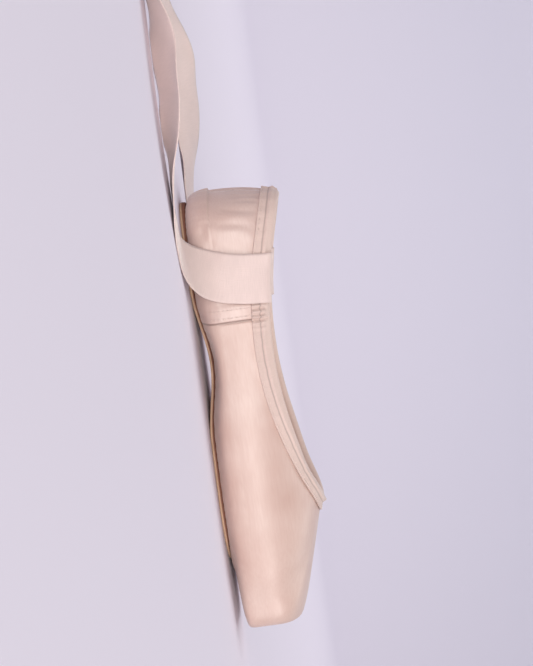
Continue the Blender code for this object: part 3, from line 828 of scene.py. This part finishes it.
def leather_material(c):
    """Vegetable-tanned split leather, buffed to a nap: matte tan, mottled, with pale scuffs. Its edge is
    dressed dark brown where it is glued to the satin, darkest there partly as painted shade of the crevice,
    and stays tan at the rim. UV Y is how dark the edge is, dressed and shaded."""
    made, tree = new_material("sole leather", Roughness=0.82, Specular_IOR_Level=0.3)
    where = node(tree, "ShaderNodeTexCoord", output="Object")
    nap = node(tree, "ShaderNodeTexNoise", {"Vector": where, "Scale": 900.0, "Detail": 4.0})
    mottle = node(tree, "ShaderNodeTexNoise", {"Vector": where, "Scale": 80.0, "Detail": 4.0})
    rubbed = node(tree, "ShaderNodeMapping", {"Vector": where, "Scale": (90, 900, 300)})
    scuffs = node(tree, "ShaderNodeTexNoise", {"Vector": rubbed, "Scale": 1.0, "Detail": 3.0})
    place = node(tree, "ShaderNodeUVMap", uv_map="cloth")
    up = node(tree, "ShaderNodeSeparateXYZ", {"Vector": place}, "Y")
    body = blend(tree, shaded(c.leather, 1), mottle, 0.35, 0.7, 0.7, shaded(c.leather, 0.62))
    body = blend(tree, body, scuffs, 0.55, 0.72, 0.5, shaded(c.leather, 1.25))
    # Dressed edge and painted shade: the edge darkens to brown towards the satin.
    body = blend(tree, body, up, 0.30, 0.62, 1.0, shaded(c.leather_edge_and_shade, 1))
    dress(tree, body, nap, 0.35, 0.0004)
    return made


def canvas_material(c):
    """Plain-weave cotton canvas over board: matte, rubbed darker in places, with threads 2.0 mm apart,
    which is coarser than real so that they show."""
    made, tree = new_material("insole canvas", Roughness=0.92, Sheen_Weight=0.1)
    where = node(tree, "ShaderNodeTexCoord", output="Object")
    threads = {"Vector": where, "Scale": 160.0, "Distortion": 0.5}
    along = node(tree, "ShaderNodeTexWave", threads, "Fac")
    across = node(tree, "ShaderNodeTexWave", threads, "Fac", bands_direction="Y")
    weave = node(tree, "ShaderNodeMath", {0: along, 1: across}, operation="MULTIPLY")
    wear = node(tree, "ShaderNodeTexNoise", {"Vector": where, "Scale": 35.0, "Detail": 3.0})
    body = blend(tree, shaded(c.canvas, 1), wear, 0.4, 0.75, 0.6, shaded(c.canvas, 0.74))
    body = blend(tree, body, weave, 1.0, 0.0, 0.22, shaded(c.canvas, 0.6))
    dress(tree, body, weave, 0.35, 0.0003)
    return made


def thread_material(c):
    """Polyester sewing thread: slightly glossy, its twist shown as a light noise of 0.6 mm."""
    made, tree = new_material("sewing thread", Roughness=0.5, Sheen_Weight=0.2)
    where = node(tree, "ShaderNodeTexCoord", output="Object")
    twist = node(tree, "ShaderNodeTexNoise", {"Vector": where, "Scale": 1700.0, "Detail": 2.0})
    dress(tree, blend(tree, shaded(c.thread, 1), twist, 0.3, 0.7, 1.0, shaded(c.thread, 0.85)))
    return made


def paper_material(c):
    """Matt studio paper, in one piece from floor to backdrop, a little cooler up the backdrop."""
    made, tree = new_material("studio paper", Roughness=0.9, Specular_IOR_Level=0.2)
    where = node(tree, "ShaderNodeTexCoord", output="Object")
    height = node(tree, "ShaderNodeSeparateXYZ", {"Vector": where}, "Z")
    dress(tree, blend(tree, shaded(c.floor, 1), height, 0.0, 0.5, 1.0, shaded(c.backdrop, 1)))
    return made


def settings(context):
    """The scene's own sizes and colours."""
    return context.scene.pointe_sizes, context.scene.pointe_colours


class POINTE_OT_upper(Operator):
    """Adds the upper: satin outside, lining inside, and a real wall between them"""

    bl_idname = "pointe.upper"
    bl_label = "Upper"

    def execute(self, context):
        s, c = settings(context)
        places = columns(18)
        levels = np.concatenate([np.linspace(0, 1, 51), np.linspace(1, 2, 35)[1:]])
        base = form(s, places, levels)
        normal = outward(base)
        outer = base + normal * relief(s, places, levels, base, normal)[..., None]
        folds = LINING_FOLDS * ripple(base, 23, 0.016)[..., None]
        along = from_row(s, places, SIDE_SEAM)
        seam_tape = SEAM_TAPE * (1 - ease(np.abs(along), 0.0040, 0.0046))
        inward = folds + seam_tape[:, None, None]
        inner = base - normal * (wall_at(s, base[..., :1]) + inward * (levels[None, :, None] < 1))
        grid = np.concatenate([outer, inner[:, ::-1]], axis=1)
        rows, cols = grid.shape[:2]
        faces = grid_faces(rows, cols, True, True)
        is_inner = (faces[:, 0] % cols) >= len(levels)
        down = run_along(base, 1)
        uv = over_grid(along[:, None], np.concatenate([down, down[:, ::-1]], axis=1)).reshape(-1, 2)
        piece = mesh_object("upper_wall", grid.reshape(-1, 3), faces, is_inner, uv, merge=False)
        finish_piece(piece, [satin_material(c), lining_material(c)], ("upper",))
        return {"FINISHED"}


def spine(s, places):
    """The line in plan that the plates are spread from."""
    sole = smooth_loop(sole_rows(s), (1, -1), places)
    rear = -s.shoe_length / 2 + s.sole_heel_inset + s.sole_heel_width / 2
    front = s.shoe_length / 2 - s.sole_setback - s.sole_ball_width / 3
    return np.stack([np.clip(sole[:, 0], rear, front), np.zeros(len(places))], axis=1)


class POINTE_OT_outsole(Operator):
    """Adds the leather outsole with its rounded, dressed edge, darker next to the satin as painted shade"""

    bl_idname = "pointe.outsole"
    bl_label = "Outsole"

    def execute(self, context):
        s, c = settings(context)
        places = np.linspace(0, 2 * LAST, 480, endpoint=False)
        edge = smooth_loop(sole_rows(s), (1, -1), places)
        middle = spine(s, places)
        shares = np.linspace(0, 1, 9)[:-1]
        corner, tall = SOLE_CORNER, s.sole_thickness
        turns = [(math.sin(angle), math.cos(angle)) for angle in np.linspace(0, math.pi / 2, 5)]
        # Share of the way out from the spine, inset from the edge, height, and the darkness of each ring,
        # where the edge is dressed and painted with shade
        rings = [(share, corner, tall, 1.0) for share in shares]
        rings += [(1.0, corner * (1 - out), tall - corner * (1 - up), 1.0) for out, up in turns]
        rings += [(1.0, corner * (1 - out), corner * (1 - up), 0.15 + 0.2 * out) for out, up in turns[::-1]]
        rings += [(share, corner, 0.0, 0.0) for share in shares[::-1]]
        lines = []
        for share, inset, height, _ in rings:
            plan = middle + (inwards(edge, inset) - middle) * share
            lines.append(np.column_stack([plan, rise(s, plan[:, 0]) + height]))
        grid = np.stack(lines, axis=1)
        heights, dressed_and_shaded = np.array(rings).T[2:]
        side = (heights > 0) & (heights < tall)
        grid[..., 1] += SOLE_WOBBLE * ripple(grid, 31, 0.012) * side * np.sign(grid[..., 1])
        uv = over_grid((places / LAST * s.shoe_length)[:, None], dressed_and_shaded[None, :])
        leather = leather_material(c)
        grid_piece("outsole_leather", grid, (True, False), uv, leather, ("outsole",))
        return {"FINISHED"}


class POINTE_OT_insole(Operator):
    """Adds the canvas insole on the turned-in edge of the upper"""

    bl_idname = "pointe.insole"
    bl_label = "Insole"

    def execute(self, context):
        s, c = settings(context)
        places = np.linspace(0, 2 * LAST, 360, endpoint=False)
        levels = np.concatenate([[1.5], np.linspace(1.6, 2, 9)])
        base = form(s, places, levels)
        under = (base - outward(base) * (wall_at(s, base[..., :1]) + s.gap))[:, 1:]
        middle = spine(s, places)
        inner_edge = under[:, -1]
        rings = [under]
        for share in np.linspace(1, 0, 8)[1:]:
            plan = middle + (inner_edge[:, :2] - middle) * share
            floor = rise(s, plan[:, 0]) + s.sole_thickness + 2 * s.gap + wall_at(s, plan[:, 0])
            rings.append(np.column_stack([plan, floor])[:, None])
        low = np.concatenate(rings, axis=1)
        high = low + (0, 0, s.insole_thickness)
        high[..., 2] += CANVAS_WAVES * ripple(high, 41, 0.018)
        outside = low[:, :1] + (0, 0, s.insole_thickness / 2)
        outside[..., :2] += CANVAS_EDGE_ROUND * unit(outside[..., :2] - middle[:, None])
        grid = np.concatenate([high[:, ::-1], outside, low], axis=1)
        grid_piece("insole_canvas", grid, (True, False), None, canvas_material(c), ("insole",))
        return {"FINISHED"}


def at_depths(s, places, depths):
    """Points and normals on the outer face at distances down from the collar edge, as [place, depth]."""
    levels = np.linspace(0, 1, 61)
    wall = form(s, places, levels)
    run = run_along(wall, 1)
    wanted = np.array(depths)[None, None, :]
    below = np.clip((run[:, :, None] <= wanted).sum(axis=1) - 1, 0, len(levels) - 2)
    low = np.take_along_axis(run, below, axis=1)
    high = np.take_along_axis(run, below + 1, axis=1)
    share = ((wanted[:, 0] - low) / (high - low))[..., None]
    here = np.take_along_axis(wall, below[..., None].repeat(3, 2), axis=1)
    there = np.take_along_axis(wall, below[..., None].repeat(3, 2) + 1, axis=1)
    points = here + (there - here) * share
    return points, outward(points)


def binding_grid(s, places):
    """The folded tape as a closed profile carried round the collar, with the run round and down it.

    Outside and inside, the tape lies at a constant distance from the wall, with a low round swelling over
    the drawstring, a groove at the stitch line, ridges over each side seam and small gathers. A half
    circle joins both over the edge.
    """
    depths = np.linspace(0, s.binding_width, 15)
    base, normal = at_depths(s, places, depths)
    raised = lap_seam(s, places)[:, None] + back_seam(s, places)[:, None]
    wall = wall_at(s, base[..., 0])
    to_throat = (LAST - np.minimum(places, 2 * LAST - places))[:, None] * 0.004
    knot = 1 + KNOT_SWELL * hump(to_throat, 0, 0.0030)
    cord = CORD_SWELL * hump(depths, CORD_DEPTH, 0.0012) * knot - CORD_PINCH * hump(depths, 0.0043, 0.0007)
    groove = -STITCH_GROOVE * hump(depths, s.binding_width - STITCH_INSET, 0.00045)
    lip = TAPE_LIP * hump(depths, s.binding_width - 0.0004, 0.0004)
    gathers = TAPE_GATHERS * ripple(base * (1, 1, 0.2), 61, 0.0042) * ease(depths, 0.0005, 0.002)
    along = from_row(s, places, SIDE_SEAM)[:, None]
    join = np.cos(2 * math.pi * along / JOIN_STEP) * hump(along, 0, 0.0075) * ease(depths, 0.0006, 0.0016)
    skin = s.gap + s.binding_thickness + cord + groove + lip + JOIN_HEIGHT * join
    outside = base + normal * (raised + skin + gathers)[..., None]
    inside = base - normal * (wall + skin + 0.5 * gathers)[..., None]
    lining_out = base + normal * (raised + s.gap)[..., None]
    lining_in = base - normal * (wall + s.gap)[..., None]
    up = unit(base[:, 0] - base[:, 1])
    crown = base[:, 0] - normal[:, 0] * wall[:, :1] / 2
    angle = np.linspace(0, math.pi, 9)[1:-1][None, :, None]
    reach = (wall[:, :1] / 2 + s.gap + s.binding_thickness)[..., None]
    over = crown[:, None] - (normal[:, :1] * np.cos(angle) - up[:, None] * np.sin(angle)) * reach
    roof = (crown + up * s.gap)[:, None]
    parts = [outside, lining_out[:, ::-1], roof, lining_in, inside[:, ::-1], over]
    grid = np.concatenate(parts, axis=1)
    ring = np.concatenate([grid, grid[:, :1]], axis=1)
    down = run_along(ring, 1)[:, :-1]
    around = run_along(np.concatenate([grid, grid[:1]], axis=0), 0)[:-1, :1]
    return grid, over_grid(around, down)


class POINTE_OT_binding(Operator):
    """Adds the folded tape round the collar"""

    bl_idname = "pointe.binding"
    bl_label = "Binding"

    def execute(self, context):
        s, c = settings(context)
        grid, uv = binding_grid(s, columns(28))
        # The darker line 4.4 mm down the binding is painted shade in the groove beside the cord.
        tape = tape_material("cotton binding tape", c.binding, 1500, 0.72, 0.25, 0.0044)
        grid_piece("collar_binding", grid, (True, True), uv, tape, ("binding",), merge=False)
        return {"FINISHED"}


def stitch_mesh(name, middle, along, normal, lengths, thread):
    """Short threads that rise from the cloth and dip back: a round bar bent up by a parabola, thinner at
    both ends, repeated at every middle point."""
    share = np.linspace(-1, 1, 6)
    angle = np.linspace(0, 2 * math.pi, 6, endpoint=False)
    along = unit(along)
    aside = unit(np.cross(normal, along))
    radius = thread / 2 * np.sqrt(np.clip(1 - share**2, 0, 1))
    lift = thread * (0.45 - 0.75 * share**2)
    line = middle[:, None] + along[:, None] * (share * lengths[:, None] / 2)[..., None]
    line = line + normal[:, None] * lift[None, :, None]
    out = normal[:, None, None] * np.cos(angle)[None, None, :, None]
    out = out + aside[:, None, None] * np.sin(angle)[None, None, :, None]
    grid = line[:, :, None] + out * radius[None, :, None, None]
    count, rings, sides = grid.shape[:3]
    one = grid_faces(rings, sides, False, True)
    faces = (one[None] + (np.arange(count) * rings * sides)[:, None, None]).reshape(-1, 4)
    return mesh_object(name, grid.reshape(-1, 3), faces[:, ::-1])


def along_run(points, normal, spacing, start=0.0, end=0.0):
    """Middle points, ways and normals at a spacing along one line of points, and each stitch's length."""
    run = run_of(points)
    wanted = np.arange(start, run[-1] - end, spacing)
    along = read_at(points, run, wanted + 1e-4) - read_at(points, run, wanted - 1e-4)
    facing = unit(read_at(normal, run, wanted))
    return read_at(points, run, wanted), along, facing, np.full(len(wanted), STITCH_SHARE * spacing)


def beside_row(s, row, aside, levels):
    """A line down the outer face, a distance aside from a row, as points and normals."""
    spacing = from_row(s, np.array([row + 0.1]), row)[0] / 0.1
    place = row + aside / spacing
    wall = form(s, np.array([place - 0.01, place, place + 0.01]), levels)
    return wall[1], outward(wall)[1]


def mirrored_run(run):
    """The same stitches on the other side of the shoe."""
    middle, along, facing, lengths = run
    return middle * (1, -1, 1), along * (1, -1, 1), facing * (1, -1, 1), lengths


class POINTE_OT_stitches(Operator):
    """Adds the visible stitching: binding, side seams, heel seam, binding joins and ribbon ends"""

    bl_idname = "pointe.stitches"
    bl_label = "Stitches"

    def execute(self, context):
        s, c = settings(context)
        runs = []
        places = columns(12)
        depth = s.binding_width - STITCH_INSET
        base, normal = at_depths(s, places, [depth - 0.0002, depth, depth + 0.0002])
        base, normal = base[:, 1], normal[:, 1]
        raised = (lap_seam(s, places) + back_seam(s, places))[:, None]
        skin = s.gap + s.binding_thickness - STITCH_GROOVE
        loop = np.append(np.arange(len(places)), 0)
        outside = (base + normal * (raised + skin))[loop]
        inside = (base - normal * (wall_at(s, base[:, :1]) + skin))[loop]
        runs.append(along_run(outside, normal[loop], BINDING_STITCH))
        runs.append(along_run(inside, -normal[loop], BINDING_STITCH))
        levels = np.linspace(0.0, 1.35, 120)
        under_tape = s.binding_width + 0.001
        for aside in (0.0016, -0.0024):
            line, facing = beside_row(s, SIDE_SEAM, aside, levels)
            run = along_run(line + facing * 0.97 * s.seam_height, facing, SEAM_STITCH, under_tape)
            runs += [run, mirrored_run(run)]
        line, facing = beside_row(s, 0, 0.0030, levels)
        run = along_run(line - facing * 0.0002, facing, HEEL_STITCH, under_tape)
        runs += [run, mirrored_run(run)]
        for aside in JOIN_STEP * np.arange(-2, 3):
            line, facing = beside_row(s, SIDE_SEAM, aside, levels)
            lifted = line + facing * (s.seam_height + s.gap + s.binding_thickness + 0.0002)
            middle, along, facing, lengths = along_run(lifted, facing, JOIN_STITCH, 0.0050)
            run = (middle[:1], along[:1], facing[:1], lengths[:1])
            runs += [run, mirrored_run(run)]
        runs += ribbon_stitches(s)
        middle, along, facing, lengths = (np.concatenate(part) for part in zip(*runs, strict=True))
        piece = stitch_mesh("seam_stitches", middle, along, facing, lengths, s.thread_diameter)
        finish_piece(piece, [thread_material(c)])
        return {"FINISHED"}


def ribbon_frame(s, count):
    """The ribbon's middle line, the way across it and its face, on the +Y side.

    The way across is set square to the route, and what would dip under the floor is lifted onto it."""
    rows = [middle + across for middle, across in RIBBON_ROUTE]
    path = evenly(smooth_path(rows, 1200), count)
    middle, across = path[:, :3].copy(), path[:, 3:]
    along = unit(np.gradient(middle, axis=0))
    across = unit(across - along * np.sum(across * along, axis=1)[:, None])
    face = np.cross(along, across)
    half, thick = s.ribbon_width / 2, s.ribbon_thickness / 2
    lowest = half * np.abs(across[:, 2]) + thick * np.abs(face[:, 2])
    middle[:, 2] = np.maximum(middle[:, 2], lowest + s.gap / 2)
    return middle, across, face


def ribbon_stitches(s):
    """A sewn box on the inside of each ribbon's end, 9 mm long and 2 mm in from both edges."""
    middle, across, face = ribbon_frame(s, 400)
    run = run_of(middle)
    start, end = np.searchsorted(run, SEWN_BOX)
    reach = s.ribbon_width / 2 - 0.002
    sheet = middle - face * (s.ribbon_thickness / 2)
    runs = []
    for side in (-reach, reach):
        line = sheet[start:end] + across[start:end] * side
        runs.append(along_run(line, -face[start:end], SEAM_STITCH, 0.001))
    share = np.linspace(-reach, reach, 9)[:, None]
    for at in (start, end):
        line = sheet[at] + across[at] * share
        runs.append(along_run(line, np.repeat(-face[at : at + 1], 9, 0), SEAM_STITCH, 0.001))
    return runs + [mirrored_run(run) for run in runs]


def ribbon_grid(s, count, across_count):
    """The ribbon on the +Y side as a thin closed band: its middle line, its grid and its UV in metres.

    Across the width it bows a little by a parabola, its edges wave by a sine, and a soft noise wrinkles
    it. The selvedges are a third thicker, and both ends are closed to a line.
    """
    middle, across, face = ribbon_frame(s, count)
    half, thick = s.ribbon_width / 2, s.ribbon_thickness / 2
    run = run_of(middle)
    share = np.linspace(-1, 1, across_count)
    loose = ease(run, 0.075, 0.14)[:, None]
    bow = RIBBON_BOW * loose * (1 - share[None, :] ** 2) * np.sin(run[:, None] * 31 + 0.6)
    sway = np.sin(run[:, None] * 150 + 1.5 * share[None, :])
    wave = RIBBON_WAVE * loose * np.abs(share[None, :]) ** 3 * sway
    spots = over_grid(run[:, None], 0.3 * half * share[None, :], 0.0)
    wrinkle = RIBBON_WRINKLE * ripple(spots, 71, 0.02) * loose
    sheet = middle[:, None] + across[:, None] * (half * share)[None, :, None]
    sheet = sheet + face[:, None] * (bow + wave + wrinkle)[..., None]
    sheet[..., 2] = np.maximum(sheet[..., 2], OFF_FLOOR + 1.4 * thick)
    selvedge = 1 + 0.35 * hump(np.abs(share), 0.965, 0.03)
    offset = face[:, None] * (thick * selvedge)[None, :, None]
    ring = np.concatenate([sheet + offset, (sheet - offset)[:, ::-1]], axis=1)
    ends = np.concatenate([sheet, sheet[:, ::-1]], axis=1)
    grid = np.concatenate([ends[:1], ring, ends[-1:]], axis=0)
    grid[..., 2] = np.maximum(grid[..., 2], OFF_FLOOR)
    width = np.concatenate([half * share, half * share[::-1]])
    run_all = np.concatenate([run[:1], run, run[-1:]])
    return middle, grid, over_grid(run_all[:, None], width[None, :])


class POINTE_OT_ribbons(Operator):
    """Adds both ankle ribbons, sewn inside the quarters and laid down behind the shoe"""

    bl_idname = "pointe.ribbons"
    bl_label = "Ribbons"

    def execute(self, context):
        s, c = settings(context)
        middle, grid, uv = ribbon_grid(s, 360, 19)
        rows, cols = grid.shape[:2]
        faces = grid_faces(rows, cols, False, True)
        ribbon = tape_material("satin ribbon", c.ribbon, 1900, 0.48, 0.3)
        for side, name in ((1, "ribbon_left"), (-1, "ribbon_right")):
            turned = faces if side > 0 else faces[:, ::-1]
            points = grid.reshape(-1, 3) * (1, side, 1)
            piece = mesh_object(name + "_satin", points, turned, uv=uv.reshape(-1, 2))
            finish_piece(piece, [ribbon], (name,))
        return {"FINISHED"}


class POINTE_OT_drawstring(Operator):
    """Adds the knotted ends of the drawstring at the throat"""

    bl_idname = "pointe.drawstring"
    bl_label = "Drawstring"

    def execute(self, context):
        s, c = settings(context)
        path = evenly(smooth_path(STRING_ROUTE, 300), 140)
        along = unit(np.gradient(path, axis=0))
        aside = unit(np.cross(along, (1.0, 0.0, 0.0)))
        third = np.cross(along, aside)
        angle = np.linspace(0, 2 * math.pi, 14, endpoint=False)
        share = np.linspace(-1, 1, len(path))
        run = run_of(path)
        swell = 1 + 1.25 * hump(share, 0, 0.11) + 0.25 * hump(np.abs(share), 0.12, 0.03)
        plait = 1 + 0.10 * np.sin(2 * angle[None, :] + run[:, None] * 2600)
        radius = s.string_diameter / 2 * swell[:, None] * plait
        radius[[0, -1]] = 0
        out = aside[:, None] * np.cos(angle)[None, :, None] + third[:, None] * np.sin(angle)[None, :, None]
        grid = path[:, None] + out * radius[..., None]
        uv = over_grid(run[:, None], (angle * s.string_diameter / 2)[None, :])
        cord = tape_material("cotton drawstring", c.binding, 2200, 0.85, 0.2)
        piece = grid_piece("drawstring_ends", grid, (False, True), uv, cord, ("drawstring",))
        return {"FINISHED"}


class POINTE_OT_stage(Operator):
    """Adds the floor, the backdrop, the lights and the camera"""

    bl_idname = "pointe.stage"
    bl_label = "Stage"

    def execute(self, context):
        _, c = settings(context)
        scene = context.scene
        reach, start, bend, top = 8.0, 2.2, 0.9, 3.5
        across = np.array([-reach, reach])
        turn = np.linspace(0, math.pi / 2, 16)[1:]
        ground = np.linspace(-reach, start, 12)
        deep = np.concatenate([ground, start + bend * np.sin(turn), [start + bend]])
        high = np.concatenate([0 * ground, bend * (1 - np.cos(turn)), [top]]) - FLOOR_DROP
        grid = over_grid(across[:, None], deep[None, :], high[None, :])
        rows, cols = grid.shape[:2]
        sweep = mesh_object("studio_sweep", grid.reshape(-1, 3), grid_faces(rows, cols, False, False))
        sweep.data.materials.append(paper_material(c))
        world = bpy.data.worlds.new("studio")
        world.use_nodes = True
        background = world.node_tree.nodes["Background"]
        background.inputs["Color"].default_value = shaded(c.backdrop, 0.88)
        background.inputs["Strength"].default_value = 0.44
        scene.world = world
        lamps = (
            ("key", (-0.15, -1.6, 0.28), (0.0, 0.0, 0.02), (1.5, 0.28), 80, 3.7, (1.0, 0.98, 0.96)),
            ("toe key", (1.15, -1.15, 0.28), (0.06, 0.0, 0.02), (0.9, 0.28), 80, 1.7, (1.0, 0.98, 0.96)),
            ("top", (0.1, 0.5, 1.8), (0.0, 0.1, 0.0), (2.2, 2.2), 180, 13, (1.0, 0.99, 0.98)),
            ("wall", (0.0, 1.2, 2.6), (0.0, 3.1, 1.0), (3.0, 1.5), 180, 32, (0.98, 0.98, 1.0)),
        )
        for name, place, target, (wide, tall), spread, power, tint in lamps:
            lamp = bpy.data.lights.new(name, "AREA")
            lamp.shape = "RECTANGLE"
            lamp.size = wide
            lamp.size_y = tall
            lamp.energy = power
            lamp.color = tint
            lamp.spread = math.radians(spread)
            holder = bpy.data.objects.new(name, lamp)
            holder.location = place
            aim = Vector(target) - Vector(place)
            holder.rotation_euler = aim.to_track_quat("-Z", "Y").to_euler()
            scene.collection.objects.link(holder)
        scene.view_settings.view_transform = "Standard"
        azimuth, elevation, roll = (math.radians(angle) for angle in CAMERA_ANGLES)
        away = Vector((
            math.sin(azimuth) * math.cos(elevation),
            -math.cos(azimuth) * math.cos(elevation),
            math.sin(elevation),
        ))
        camera = bpy.data.cameras.new("camera")
        camera.lens = 100
        camera.clip_end = 50
        holder = bpy.data.objects.new("camera", camera)
        place = Vector(CAMERA_TARGET) + away * CAMERA_DISTANCE
        heelward = (Vector((-1, 0, 0)) - away * -away.x).normalized()
        upright = heelward * math.cos(roll) + heelward.cross(away) * math.sin(roll)
        turned = Matrix((upright.cross(away), upright, away)).transposed().to_4x4()
        holder.matrix_world = Matrix.Translation(place) @ turned
        scene.collection.objects.link(holder)
        scene.camera = holder
        return {"FINISHED"}


OPERATORS = (
    POINTE_OT_upper,
    POINTE_OT_outsole,
    POINTE_OT_insole,
    POINTE_OT_binding,
    POINTE_OT_stitches,
    POINTE_OT_drawstring,
    POINTE_OT_ribbons,
    POINTE_OT_stage,
)


class POINTE_PT_panel(Panel):
    """Lists the shoe's pieces, sizes and colours"""

    bl_idname = "POINTE_PT_panel"
    bl_label = "Pointe shoe"
    bl_space_type = "VIEW_3D"
    bl_region_type = "UI"
    bl_category = "Pointe shoe"

    def draw(self, context):
        for operator in OPERATORS:
            self.layout.operator(operator.bl_idname)
        for group in settings(context):
            box = self.layout.box()
            for key in group.bl_rna.properties.keys():
                if key not in ("rna_type", "name"):
                    box.prop(group, key)


CLASSES = (PointeSizes, PointeColours, *OPERATORS, POINTE_PT_panel)


def register():
    """Adds the classes and the scene's sizes and colours."""
    for item in CLASSES:
        bpy.utils.register_class(item)
    bpy.types.Scene.pointe_sizes = PointerProperty(type=PointeSizes)
    bpy.types.Scene.pointe_colours = PointerProperty(type=PointeColours)


def unregister():
    """Takes the classes, sizes and colours away again."""
    del bpy.types.Scene.pointe_colours
    del bpy.types.Scene.pointe_sizes
    for item in reversed(CLASSES):
        bpy.utils.unregister_class(item)


def main():
    """Builds every piece and the stage."""
    register()
    bpy.ops.pointe.upper()
    bpy.ops.pointe.outsole()
    bpy.ops.pointe.insole()
    bpy.ops.pointe.binding()
    bpy.ops.pointe.stitches()
    bpy.ops.pointe.drawstring()
    bpy.ops.pointe.ribbons()
    bpy.ops.pointe.stage()


if __name__ == "__main__":
    main()
